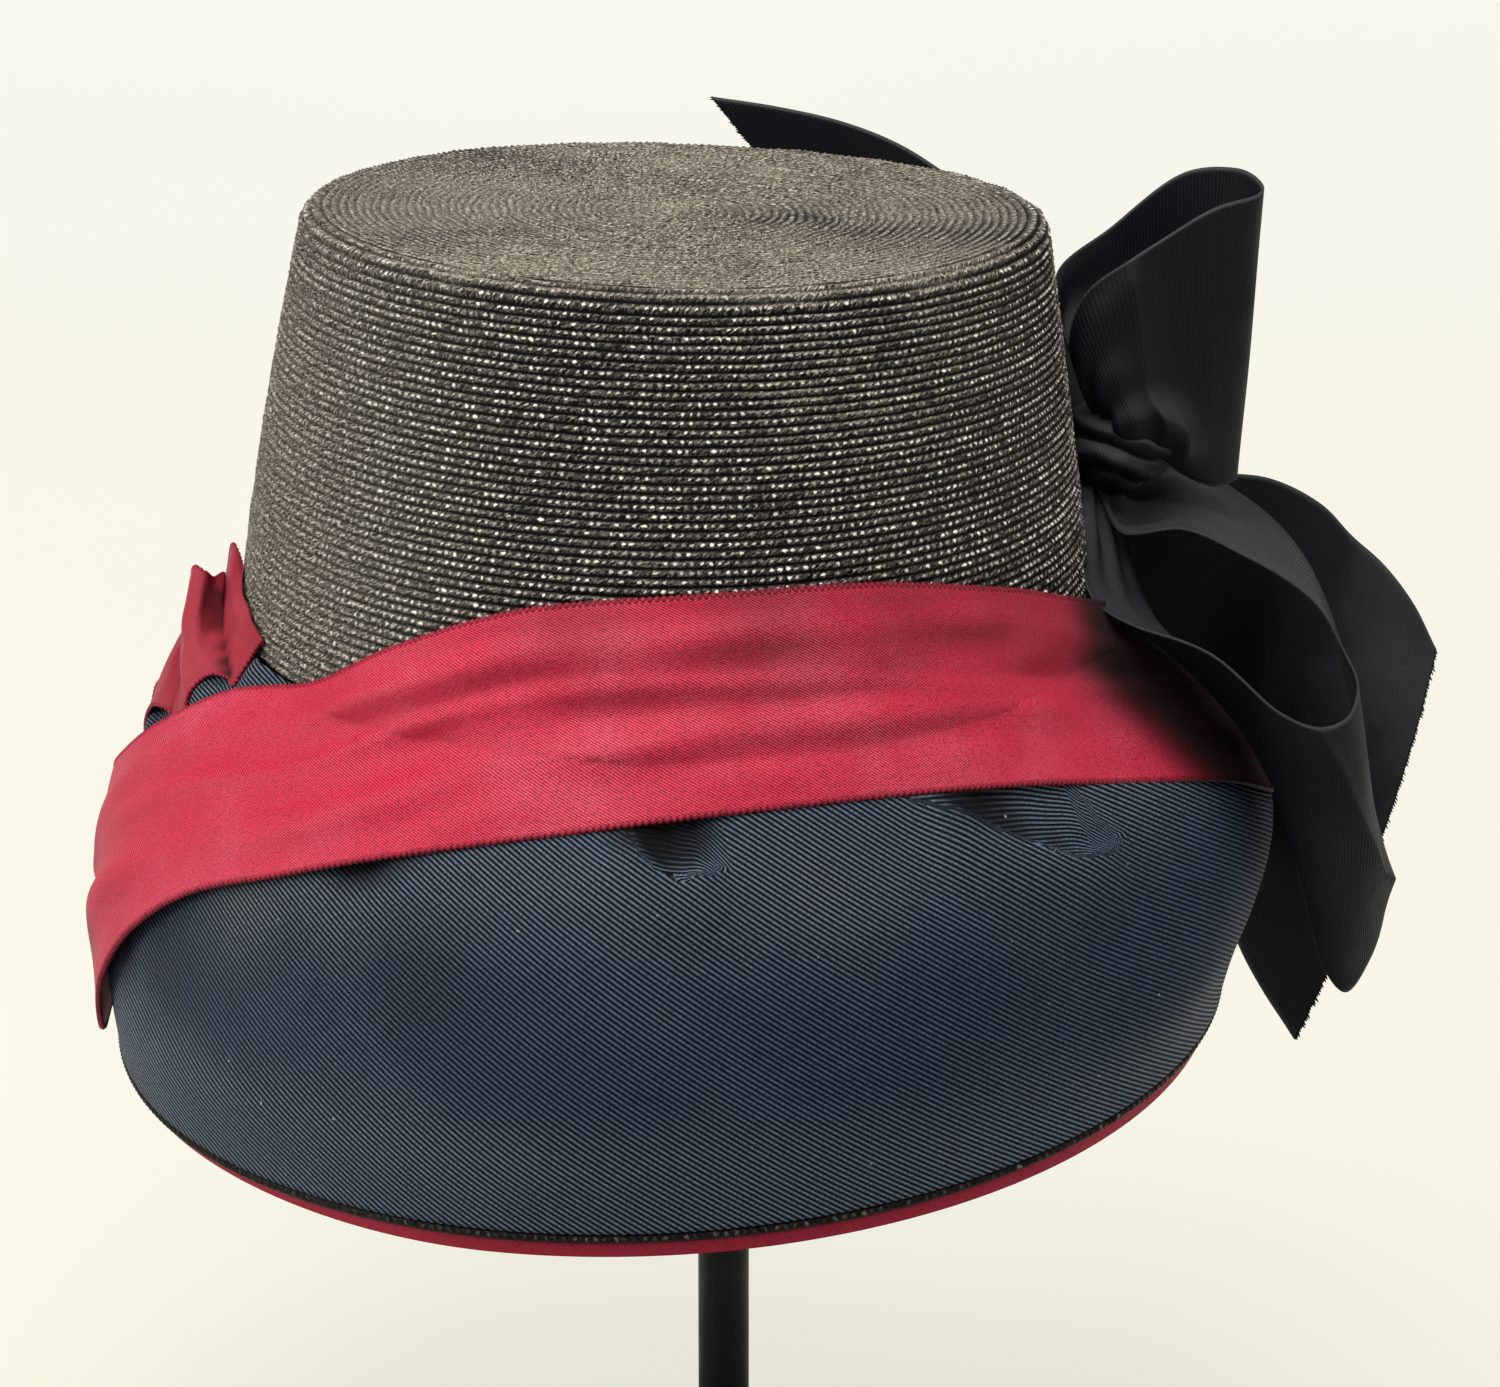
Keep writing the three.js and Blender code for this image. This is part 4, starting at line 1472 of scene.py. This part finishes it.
@dataclass
class FrontRibbon:
    """The wide crimson ribbon across the front, from the bow round to the back left."""

    maker: GridMaker
    finish: TwillFinish
    cord_finish: TwillFinish
    width: float = 47.0
    columns: int = 420
    rows: int = 56
    sag: float = 0.7
    top_flare: float = 1.2
    length: float = 330.0
    cording: Cording = Cording(0.62, 1.4, 1500)
    courses: Table = (
        # angle and height of the top edge, angle and height of the low edge, how far each stands off
        (88, -1, 86, -41, 3.6, 3.8), (76, 7, 72, -28, 2.6, 3.6), (62, 15.5, 55, -18, 1.4, 3.0),
        (48, 23.5, 41, -12, 1.2, 3.4), (27, 31.4, 24, -8.6, 1.2, 3.4), (4, 32.4, 4, -9, 1.2, 3.4),
        (-18, 28.4, -15, -13.5, 1.2, 3.4), (-36, 16.8, -31, -20.5, 1.2, 3.6), (-50, 3.8, -44, -29, 1.6, 4.2),
        (-64, -4, -56, -39, 4.6, 4.6), (-76, -18, -66, -54, 5.6, 5.4), (-86, -32, -74, -72, 5.4, 5.6),
        (-96, -42, -83, -92, 5.0, 3.4), (-106, -46, -95, -93, 4.6, 2.6), (-118, -50, -110, -85, 3.4, 2.6),
    )
    shaded_places: Table = (
        # shares along and across of a spot of painted shade, under the bow, along the top edge and at the
        # turned left end; its reach and how dark it is
        (0.0, 0.2, 50, 1.0), (0.0, 0.55, 50, 1.0), (0.0, 0.9, 46, 1.0),
        (0.06, 0.15, 30, 0.9), (0.06, 0.5, 30, 0.9), (0.06, 0.85, 26, 0.7),
        (0.085, 0.3, 34, 1.0), (0.05, 0.6, 34, 1.0), (0.03, 0.88, 34, 1.0),
        (0.17, 0.15, 20, 0.3), (0.22, 0.15, 20, 0.3), (0.27, 0.12, 22, 0.3), (0.33, 0.1, 24, 0.35),
        (0.41, 0.08, 22, 0.2), (0.09, 0.15, 26, 0.9), (0.02, 0.75, 30, 1.0),
        (0.82, 0.35, 16, 0.3), (0.81, 0.7, 16, 0.4), (0.83, 0.95, 14, 0.5),
    )
    creases: Table = (
        # height of a soft fold, its width, and its course: share across at each fifth of the ribbon
        (2.2, 5.0, 0.34, 0.20, 0.24, 0.18, 0.26, 0.40),
        (2.0, 4.5, 0.76, 0.64, 0.70, 0.78, 0.66, 0.75),
        (1.2, 2.4, 0.46, 0.52, 0.40, 0.46, 0.38, 0.55),
    )

    def laid(self, u: Array, v: Array) -> Array:
        """Gives points of the ribbon as it lies, before its creases.

        Args:
            u: Share along the ribbon, from the bow.
            v: Share across it, from the top.

        Returns:
            Points in the bonnet's frame.
        """
        form = self.maker.form
        rows = spline(np.asarray(self.courses, float), u, 0)
        turns = np.radians(rows[:, [0, 2]])
        top = form.outside_point(turns[:, 0], rows[:, 1], rows[:, 4] + self.top_flare)
        low = form.outside_point(turns[:, 1], rows[:, 3], rows[:, 5])
        chord = mix(top, low, v[:, None])
        angle = mix(turns[:, 0], turns[:, 1], v)
        flare = self.top_flare * (1 - smoothstep(v, 0, 0.3))
        skin = form.outside_point(angle, chord[:, 2], mix(rows[:, 4], rows[:, 5], v) + flare)
        nearer = np.hypot(chord[:, 0], chord[:, 1]) > np.hypot(skin[:, 0], skin[:, 1])
        sagged = mix(chord, skin, (self.sag * np.sin(math.pi * v) ** 0.5)[:, None])
        return np.where(nearer[:, None], sagged, skin)

    def lift(self, u: Array, v: Array) -> Array:
        """Gives how far the soft folds raise the ribbon.

        Args:
            u: Share along the ribbon.
            v: Share across it.

        Returns:
            Height above the ribbon as it lies.
        """
        along = u * self.length
        across = v * self.width
        raised = np.zeros_like(u)
        for height, size, *course in self.creases:
            line = spline(np.asarray(course, float)[:, None], u, 0)[:, 0] * self.width
            uneven = 0.75 + 0.5 * ripples(along, across * 0, 60, int(height * 100))
            raised = raised + height * np.clip(uneven, 0.1, 1.5) * np.exp(-(((across - line) / size) ** 2))
        middle = smoothstep(u, 0.1, 0.18) * (1 - smoothstep(u, 0.42, 0.56))
        small = (0.15 + 0.75 * middle) * ripples(along * 0.4, across, 15, 52)
        return (raised + small) * np.minimum(smoothstep(v, 0, 0.2), smoothstep(1 - v, 0, 0.2))

    def face(self, u: Array, v: Array) -> Array:
        """Gives points of the creased ribbon."""
        return self.laid(u, v) + face_normal(self.laid, u, v) * self.lift(u, v)[:, None]

    def build(self) -> None:
        """Builds and dresses the ribbon and its corded edges."""
        chart = partial(flat_chart, self.length, self.width)
        piece = self.maker.grid("front_ribbon_cloth", self.columns, self.rows, self.face, chart)
        self.maker.thicken(piece, 1.0)
        along, across, reaches, shares = np.array(self.shaded_places).T
        # Painted shade on the ribbon and on its cords.
        shade_spots = self.maker.form.spots(self.face(along, across), reaches, shares)
        settle(piece, replace(self.finish, shade_spots=shade_spots).material(), "front_ribbon")
        cord_material = replace(self.cord_finish, shade_spots=shade_spots).material()
        cords = corded(self.maker, "front_ribbon", self.face, self.cording, cord_material)


@dataclass
class BackFrill:
    """The gathered crimson frill round the back of the crown's base."""

    maker: GridMaker
    finish: TwillFinish
    cord_finish: TwillFinish
    top_turn: float = -109.8
    hem_turn: float = -97.9
    end_turn: float = -250.0
    hem_lead: float = 4.0
    back_flutes: int = 11
    clear: float = 1.6
    bow_out: float = 1.5
    flat_length: float = 420.0
    flat_width: float = 36.0
    cording: Cording = Cording(0.5, 1.25, 1600)
    columns: int = 600
    rows: int = 40
    folds: Table = (
        # a spot of painted shade in the trough between two flutes, its reach and how dark it is
        (-97.5, -4.4, 3.2, 6, 0.7), (-97.0, -10.0, 1.6, 6, 0.75), (-96.5, -15.5, 0.0, 6, 0.65),
        (-94.0, -24.0, -2.3, 4, 0.7), (-93.5, -30.0, -3.8, 4, 0.9), (-93.0, -34.5, -4.8, 4, 0.9),
    )
    seen: Table = (
        # a point of the top edge, then one of the hem, for the flutes at the left
        (-91.4, -9.0, 11.6, -85.2, -40.5, 4.8), (-93.6, -2.0, 14.1, -88.1, -37.5, -0.2),
        (-95.3, 4.0, 6.8, -90.6, -39.3, -3.8), (-96.5, 8.0, 0.9, -91.5, -38.8, -5.8),
        (-96.8, 6.0, 4.8, -92.3, -36.3, -5.3), (-98.5, 0.0, 5.8, -96.5, -31.8, -5.4),
        (-99.7, -8.0, 9.7, -99.5, -29.1, -7.7), (-101.6, -6.0, 10.2, -102.0, -28.8, -10.9),
        (-102.1, 8.0, 0.5, -103.1, -29.9, -14.4), (-96.5, 14.0, -1.0, -106.5, -19.2, -19.7),
        (-97.5, 18.0, -2.0, -107.7, -17.0, -18.6), (-99.5, 20.0, -2.0, -110.1, -13.6, -18.6),
        (-98.5, 26.0, -3.0, -113.7, 2.0, -25.4), (-97.0, 31.0, -7.0, -115.0, 8.0, -30.5),
        (-94.5, 34.0, -6.0, -115.5, 16.0, -36.6),
    )

    def __post_init__(self) -> None:
        """Lists the points of both edges: those seen at the left, then even flutes round the back."""
        form = self.maker.form
        count = self.back_flutes * 2
        step = np.arange(1, count + 1)
        crest = step % 2
        share = step / count
        loose = np.random.default_rng(61).uniform(-1, 1, (4, count))
        top_turn = np.radians(mix(self.top_turn, self.end_turn, share))
        hem_turn = np.radians(mix(self.hem_turn, self.end_turn + self.hem_lead, share))
        top_level = mix(-6.0, -2.0, crest) + 5 * smoothstep(share, 0, 0.4) + loose[0]
        hem_level = mix(-35.0, -29.0, crest) + 12 * smoothstep(share, 0.75, 1) + loose[1]
        top = form.outside_point(top_turn, top_level, mix(3.2, 7.5, crest) + 0.6 * loose[2])
        hem = form.outside_point(hem_turn, hem_level, mix(2.4, 6.5, crest) + 0.6 * loose[3])
        self.table = np.vstack([np.asarray(self.seen, float), np.hstack([top, hem])])

    def face(self, u: Array, v: Array) -> Array:
        """Gives points of the frill, bowed out a little and kept off the crown and the silk.

        Args:
            u: Share along the frill, from the left.
            v: Share from its top edge to its hem.

        Returns:
            Points in the bonnet's frame.
        """
        form = self.maker.form
        points = mix(spline(self.table[:, :3], u), spline(self.table[:, 3:], u), v[:, None])
        x, y, z = points.T
        reach = np.hypot(x, y)
        depth = np.maximum(-z, 0)
        wide = form.bell_point(np.full_like(depth, -math.pi / 2), depth)[:, 0]
        deep = form.bell_point(np.where(y < 0, 0, math.pi), depth)[:, 1]
        taper = 1 - 0.12 * np.maximum(z, 0) / form.height
        skin = taper / np.hypot(x / reach / wide, y / reach / deep)
        clear = mix(0.8, self.clear, smoothstep(depth, 0, 6))
        slack = 0.4 * ripples(u * self.flat_length, v * self.flat_width, 12, 63) * np.sin(math.pi * v)
        held = np.maximum(reach + self.bow_out * np.sin(math.pi * v) + slack, skin + clear)
        return np.stack([x * held / reach, y * held / reach, z], -1)

    def build(self) -> None:
        """Builds and dresses the frill and its edges."""
        chart = partial(flat_chart, self.flat_length, self.flat_width)
        piece = self.maker.grid("frill_cloth", self.columns, self.rows, self.face, chart, flip=True)
        self.maker.thicken(piece, 0.8)
        # Painted shade in the troughs between flutes.
        folds = np.array(self.folds)
        shade_spots = self.maker.form.spots(folds[:, :3], folds[:, 3], folds[:, 4])
        settle(piece, replace(self.finish, shade_spots=shade_spots).material(), "back_frill")
        cords = corded(self.maker, "frill", self.face, self.cording, self.cord_finish.material())


@dataclass(frozen=True)
class Ridge:
    """A sharp fold in a ribbon: its path in shares along and across, its height and how far it spreads."""

    path: Table
    height: float
    spread: float


@dataclass(frozen=True)
class Puff:
    """A soft bulge in a ribbon: its place in shares along and across, its height and its size."""

    at: tuple[float, float]
    height: float
    size: float


class End(Enum):
    """How the far end of a bow ribbon is held."""

    KNOT = "back in the knot"
    CUT = "cut and frayed"


@dataclass
class BowRibbon:
    """One run of the bow's ribbon, a loop or a tail, ruled between its two selvages."""

    name: str
    node: str
    courses: Table
    end: End
    flat: tuple[float, float]
    ridges: Sequence[Ridge] = ()
    puffs: Sequence[Puff] = ()
    width: float = 66.0
    columns: int = 200
    rows: int = 48
    pleats: float = 3.0
    pleat_height: float = 1.3
    pleat_reach: float = 20.0
    seed: int = 70
    samples: int = 500
    threads: int = 260

    def __post_init__(self) -> None:
        """Measures the ribbon's middle line."""
        self.table = np.asarray(self.courses, float)
        self.shares = np.linspace(0, 1, self.samples)
        middle = self.ruled(self.shares, np.full(self.samples, 0.5))
        steps = np.linalg.norm(np.diff(middle, axis=0), axis=1)
        self.lengths = np.concatenate([[0], np.cumsum(steps)])

    def ruled(self, u: Array, v: Array) -> Array:
        """Gives points of the smooth ribbon.

        Args:
            u: Share along the ribbon, from the knot.
            v: Share across it.

        Returns:
            Points in the bonnet's frame.
        """
        near = spline(self.table[:, :3], u)
        far = spline(self.table[:, :3] + self.table[:, 3:6], u)
        points = mix(near, far, v[:, None])
        if self.table.shape[1] > 6:
            cup = spline(self.table[:, 6:7], u, 0)[:, 0]
            line = self.table[:, :3]
            ahead = spline(line, np.minimum(u + 0.01, 1)) - spline(line, np.maximum(u - 0.01, 0))
            side = unit(np.cross(far - near, ahead))
            points = points + side * (4 * cup * v * (1 - v))[:, None]
        return points

    def along(self, u: Array) -> Array:
        """Gives the length along the middle, in millimetres."""
        return np.interp(u, self.shares, self.lengths)

    def lift(self, u: Array, v: Array) -> Array:
        """Gives how far pleats, folds and slack raise the ribbon.

        Args:
            u: Share along the ribbon.
            v: Share across it.

        Returns:
            Height above the smooth ribbon.
        """
        gone = self.along(u)
        total = self.lengths[-1]
        from_knot = np.minimum(gone, total - gone) if self.end is End.KNOT else gone
        gathered = np.exp(-((from_knot / self.pleat_reach) ** 2))
        raised = self.pleat_height * gathered * np.sin(2 * math.pi * self.pleats * v + 0.6)
        for ridge in self.ridges:
            path = [(float(self.along(share)), across * self.width) for share, across in ridge.path]
            away, share = path_distance(gone, v * self.width, path)
            fade = smoothstep(share, -0.1, 0.15) * smoothstep(1 - share, -0.1, 0.15)
            raised = raised + ridge.height * np.exp(-np.abs(away) / ridge.spread) * fade
        for puff in self.puffs:
            away = np.hypot(gone - self.along(puff.at[0]), (v - puff.at[1]) * self.width)
            raised = raised + puff.height * np.exp(-((away / puff.size) ** 2))
        slack = 0.6 * ripples(gone, v * self.width * 0.6, 38, self.seed)
        return raised + slack * (1 - gathered)

    def face(self, u: Array, v: Array) -> Array:
        """Gives points of the folded ribbon."""
        return self.ruled(u, v) + face_normal(self.ruled, u, v) * self.lift(u, v)[:, None]

    def fringe(self, maker: GridMaker) -> bpy.types.Object:
        """Makes the frayed threads along the cut end.

        Args:
            maker: Maker of the grids.

        Returns:
            The threads.
        """
        random = np.random.default_rng(self.seed)
        threads = self.threads
        length = random.uniform(0.3, 1.1, threads + 1) * (np.arange(threads + 1) % 2)
        sway = random.normal(0, 0.25, (threads + 1, 3))

        def face(u: Array, v: Array) -> Array:
            """Points of a strip whose outer edge is a row of thread ends.

            Args:
                u: Share across the ribbon.
                v: Share along the threads.

            Returns:
                Points in the bonnet's frame.
            """
            last = np.ones_like(u)
            root = self.face(last * 0.997, u)
            way = unit(self.face(last, u) - self.face(last * 0.985, u))
            thread = np.rint(u * threads).astype(int)
            reach = length[thread] * v
            return root + way * (reach + 0.4 * v)[:, None] + sway[thread] * (reach * 0.45)[:, None]

        def chart(u: Array, v: Array, _middle: Array) -> Array:
            """Millimetres along and across the ribbon."""
            return np.stack([self.lengths[-1] + v * 2, 1.2 + u * (self.width - 2.4)], -1)

        piece = maker.grid(self.name + "_fray", threads, 2, face, chart)
        maker.thicken(piece, 0.25)
        return piece

    def build(self, maker: GridMaker, material: bpy.types.Material) -> None:
        """Builds and dresses the ribbon and its frayed end.

        Args:
            maker: Maker of the grids.
            material: The bow's finish.
        """

        def chart(u: Array, v: Array, _middle: Array) -> Array:
            """Millimetres along and across the ribbon."""
            return np.stack([self.along(u), v * self.width], -1)

        piece = maker.grid(self.name, self.columns, self.rows, self.face, chart)
        maker.thicken(piece, 0.5)
        settle(piece, material, self.node)
        if self.end is End.CUT:
            fray = self.fringe(maker)
            settle(fray, material)


@dataclass
class Bow:
    """The dark bow at the bonnet's side: two loops, two tails and the knot that gathers them."""

    maker: GridMaker
    finish: GrosgrainFinish
    knot_centre: Place = (98.5, 7.0, 33.5)
    knot_size: Place = (12.5, 15.0, 10.5)
    upper_loop: Table = (
        # a point of the near selvage, then the way across to the far selvage
        (95, 6, 38, 5, -2, -6), (87.5, 2, 51, 12, -6, -14), (86.5, 0, 60, 12, -6, -22),
        (90, 0, 69, 11, -6, -32), (98, 2, 75, 5, -5, -41), (106, 5, 79, 4, -1, -51),
        (118, 9, 85, 1, -1, -62), (127.5, 15, 86.5, -3, 0, -64), (129, 23, 87, -4, -1, -65),
        (125, 33, 88, -3, -3, -64), (114, 38, 86, 0, -6, -60), (98, 37, 74, 5, -9, -46),
        (86, 35, 64, 12, -12, -31), (87, 26, 52, 11, -8, -16), (95, 15, 40, 5, -2, -5),
    )
    lower_loop: Table = (
        (93, 3, 23, 5, 8, 6), (98, -7, 16.5, 7, 30, 8), (111, -12.5, 19.5, 8, 57, -3),
        (123, -18, 15.5, 11, 62, -9), (132, -20, 10.5, 11, 60, -14), (140, -22, 3.5, 10, 56, -22),
        (146, -26, -5, 9, 44, -38), (147, -33, -10, 9, 26, -52), (143, -41, -13, 9, 14, -60),
        (136, -46, -13, 10, 10, -65), (128, -48, -9, 12, 11, -60), (115, -44, 1.5, 20, 12, -44),
        (98.5, -34, 5.5, 24, 13, -21), (90, -24, 9, 16, 13, -11), (89.5, -10, 19, 11.5, 9, -10),
        (88.5, 4, 30, 11, 3, -8),
    )
    top_tail: Table = (
        (98, 14, 33, 1, 2, -4), (91, 37, 44, 4, 2, -22), (81, 57, 60, 7, 3, -44), (69, 75, 72, 9, 3, -58),
        (56, 88, 79, 12, 2, -62), (41, 98, 83.5, 24, -5, -64), (26, 104, 86, 38, -10, -64),
        (11, 108, 87.5, 52, -13, -63),
    )
    side_tail: Table = (
        # as the others, and last the height of its cupped middle
        (104, 12, 27, 0, 4, -5, 0), (109, 38, 17, -6, 4, -26, 0), (125.5, 55, 12, -6, 6, -52, 2),
        (138, 60, 9, -15, 3, -65, 4), (149, 63, 2.5, -24, -3, -72, 7), (157, 65, -6, -29, -7, -79, 10),
        (165, 64, -13, -33.5, -11, -85.5, 12), (172, 62, -22, -34, -15, -89, 14),
        (177, 60, -32, -32, -20, -88.5, 15),
    )

    def ribbons(self) -> list[BowRibbon]:
        """Lists the loops and tails.

        Returns:
            Two loops, then two tails.
        """
        upper_fold = Ridge(((0.29, 0.0), (0.29, 0.5), (0.28, 1.0)), -2.6, 5.0)
        upper_puff = Puff((0.34, 0.84), -7.0, 9.0)
        lower_fold = Ridge(((0.60, 0.0), (0.56, 0.35), (0.52, 0.7), (0.467, 1.0)), 4.5, 8.0)
        return [
            BowRibbon(
                "bow_upper_loop_cloth", "bow_upper_loop", self.upper_loop, End.KNOT, (0.066, 0.12),
                (upper_fold,), (upper_puff,), seed=71),
            BowRibbon(
                "bow_lower_loop_cloth", "bow_lower_loop", self.lower_loop, End.KNOT, (0.066, 0.16),
                (lower_fold,), seed=72),
            BowRibbon("bow_top_tail_cloth", "bow_top_tail", self.top_tail, End.CUT, (0.066, 0.10), seed=73),
            BowRibbon(
                "bow_side_tail_cloth", "bow_side_tail", self.side_tail, End.CUT, (0.075, 0.12), seed=74),
        ]

    def knot(self) -> bpy.types.Object:
        """Builds the knot as a wad of ribbon wound round the gathered middle.

        Returns:
            The knot.
        """
        maker = bmesh.new()
        bmesh.ops.create_uvsphere(maker, u_segments=96, v_segments=72, radius=1.0)
        ways = np.array([vert.co[:] for vert in maker.verts])
        level = ways[:, 2] + 0.28 * ways[:, 0] - 0.2 * ways[:, 1] ** 2
        winding = np.abs(np.sin(math.pi * 1.6 * level + 0.4 * np.sin(3 * ways[:, 0])))
        pinch = 1 - 0.35 * smoothstep(ways[:, 0], 0.3, 1.0)
        small = 0.025 * ripples(ways[:, 0] * 20, level * 60, 14, 81)
        reach = 0.86 + 0.17 * winding**0.7 + small
        points = ways * reach[:, None] * np.array(self.knot_size)
        points[:, 2] *= pinch
        points = self.maker.form.placed(points + np.array(self.knot_centre))
        for vert, point in zip(maker.verts, points):
            vert.co = point
        mesh = meshed("bow_knot_wad", maker)
        turned = np.arctan2(ways[:, 0], -ways[:, 1]) * 13
        write_pattern(mesh, np.stack([turned, 20 + 12 * level], -1)[corner_points(mesh)])
        return linked("bow_knot_wad", mesh)

    def build(self) -> None:
        """Builds and dresses the bow."""
        material = self.finish.material()
        for ribbon in self.ribbons():
            ribbon.build(self.maker, material)
        knot = self.knot()
        settle(knot, material, "bow_knot")


@dataclass
class PostStand:
    """The stand: a round foot, a plain post and a domed cap that the crown rests on."""

    steps: int = 96
    foot_edge: float = 0.0025
    post_edge: float = 0.0004
    cap_edge: float = 0.0015
    dome: float = 0.120
    dome_steps: int = 6
    sharp: float = math.radians(40)

    def turned(self, name: str, profile: Sequence[tuple[float, float]], edge: float) -> bpy.types.Object:
        """Spins a profile of radii and heights round the post's axis and rounds its edges.

        Args:
            name: Name of the piece.
            profile: Radii and heights, in metres, from the axis back to the axis.
            edge: Radius of the rounded edges.

        Returns:
            The new object.
        """
        maker = bmesh.new()
        verts = [maker.verts.new((radius, 0, height)) for radius, height in profile]
        line = [maker.edges.new(pair) for pair in zip(verts, verts[1:])]
        bmesh.ops.spin(
            maker, geom=verts + line, cent=(0, 0, 0), axis=(0, 0, 1), angle=2 * math.pi, steps=self.steps,
            use_merge=True)
        bmesh.ops.remove_doubles(maker, verts=maker.verts, dist=1e-6)
        bmesh.ops.recalc_face_normals(maker, faces=maker.faces)
        sharp = [e for e in maker.edges if e.is_manifold and e.calc_face_angle() > self.sharp]
        bmesh.ops.bevel(
            maker, geom=sharp, offset=edge, affect="EDGES", segments=3, profile=0.5, material=-1)
        return linked(name, meshed(name, maker))

    def build(self) -> None:
        """Builds and dresses the foot, the post and the cap."""
        metal = PaintFinish("black_paint").material()
        wood = PaintFinish("black_wood", srgb(14, 14, 13), srgb(30, 28, 26), 0.6).material()
        foot_low, foot_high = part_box("stand_base")
        post_low, post_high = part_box("stand_post")
        cap_low, cap_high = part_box("stand_cap")
        wide = foot_high.x
        thin = post_high.x
        foot = [(0, foot_low.z), (wide, foot_low.z), (wide, foot_high.z), (0, foot_high.z)]
        settle(self.turned("stand_foot_disc", foot, self.foot_edge), metal, "stand_base")
        post = [(0, post_low.z), (thin, post_low.z), (thin, post_high.z), (0, post_high.z)]
        settle(self.turned("stand_post_rod", post, self.post_edge), metal, "stand_post")
        cap = [(0, cap_low.z), (cap_high.x, cap_low.z)]
        for step in range(self.dome_steps + 1):
            radius = cap_high.x * (1 - step / self.dome_steps)
            sink = self.dome - math.sqrt(self.dome**2 - radius**2)
            cap.append((radius, cap_high.z - sink))
        settle(self.turned("stand_cap_dome", cap, self.cap_edge), wood, "stand_cap")


@dataclass(frozen=True)
class Lamp:
    """A soft square light: its place, its side in metres and its power in watts."""

    name: str
    place: Place
    size: float
    power: float


@dataclass
class Studio:
    """The pale floor, the soft light and the camera at the photograph's angle."""

    frame_wide: float = 1500.0
    focal: float = 5513.5
    sensor: float = 36.0
    camera_place: Place = (-0.012, -1.1413, 0.6108)
    pitch: float = math.radians(18.961)
    yaw: float = math.radians(0.904)
    target: Place = (0.0, 0.0, 0.25)
    air: float = 0.26
    floor_glow: float = 0.84
    lamps: Sequence[Lamp] = (
        Lamp("overhead", (0.0, -0.6, 1.75), 1.1, 38),
        Lamp("front", (-0.3, -1.6, 1.1), 0.4, 5),
        Lamp("left", (-1.5, -0.3, 0.9), 1.0, 25),
        Lamp("right", (1.5, -0.2, 0.9), 0.8, 7),
    )

    def camera(self) -> None:
        """Sets up the camera."""
        lens = bpy.data.cameras.new("photo_camera")
        lens.sensor_width = self.sensor
        lens.lens = self.focal / self.frame_wide * self.sensor
        camera = linked("photo_camera", lens)
        camera.location = self.camera_place
        camera.rotation_euler = (math.pi / 2 - self.pitch, 0, -self.yaw)
        bpy.context.scene.camera = camera

    def lamp(self, lamp: Lamp) -> None:
        """Adds a light that faces the bonnet.

        Args:
            lamp: Which light.
        """
        light = bpy.data.lights.new(lamp.name, "AREA")
        light.size = lamp.size
        light.energy = lamp.power
        light.color = srgb(255, 250, 240)[:3]
        holder = linked(lamp.name, light)
        holder.location = lamp.place
        way = np.array(self.target) - np.array(lamp.place)
        flat = math.hypot(way[0], way[1])
        holder.rotation_euler = (math.atan2(flat, -way[2]), 0, math.atan2(way[1], way[0]) - math.pi / 2)

    def floor(self) -> None:
        """Lays a large pale floor."""
        maker = bmesh.new()
        bmesh.ops.create_grid(maker, x_segments=8, y_segments=8, size=6.0)
        mesh = meshed("studio_floor", maker)
        board = NodeBoard("pale_floor")
        paper = board.noise(board.place(), 3.0)
        body = board.blend(paper, srgb(108, 108, 104), srgb(116, 116, 112))
        far = board.parts(board.place())[1]
        glow = board.tint(srgb(228, 228, 212), srgb(255, 255, 246), far, -0.4, 2.4)
        board.settle(Base_Color=body, Roughness=0.9, Emission_Color=glow, Emission_Strength=self.floor_glow)
        mesh.materials.append(board.material)
        linked("studio_floor", mesh)

    def build(self) -> None:
        """Sets up the camera, the floor and the lights."""
        scene = bpy.context.scene
        scene.view_settings.view_transform = "Standard"
        world = bpy.data.worlds.new("studio_air")
        world.use_nodes = True
        sky = world.node_tree.nodes["Background"]
        sky.inputs["Color"].default_value = srgb(255, 252, 245)
        sky.inputs["Strength"].default_value = self.air
        scene.world = world
        self.camera()
        self.floor()
        for lamp in self.lamps:
            self.lamp(lamp)


def main() -> None:
    """Builds the studio and the bonnet's pieces in order."""
    logging.basicConfig(level=logging.INFO, format="%(name)s %(message)s")
    maker = GridMaker(BonnetForm.from_frame())
    straw = StrawFinish()
    crimson = TwillFinish()
    cord = TwillFinish("crimson_cord", srgb(132, 14, 40), srgb(60, 5, 18), srgb(150, 34, 58))
    frill = TwillFinish("frill_twill", srgb(166, 36, 58), srgb(48, 6, 14), srgb(182, 72, 88))
    lining = TwillFinish("lining_twill", srgb(160, 24, 56), srgb(98, 10, 30), srgb(172, 44, 70))
    rim = StrawFinish("rim_plait", srgb(8, 7, 7), srgb(26, 23, 22), dust_and_light_share=0.02, glint_share=0.1)
    Studio().build()
    StrawCrown(maker, straw).build()
    StrawBrim(maker, rim).build()
    SilkCover(maker, SilkFinish()).build()
    BrimLining(maker, lining).build()
    FrontRibbon(maker, crimson, cord).build()
    BackFrill(maker, frill, cord).build()
    Bow(maker, GrosgrainFinish()).build()
    PostStand().build()


if __name__ == "__main__":
    main()
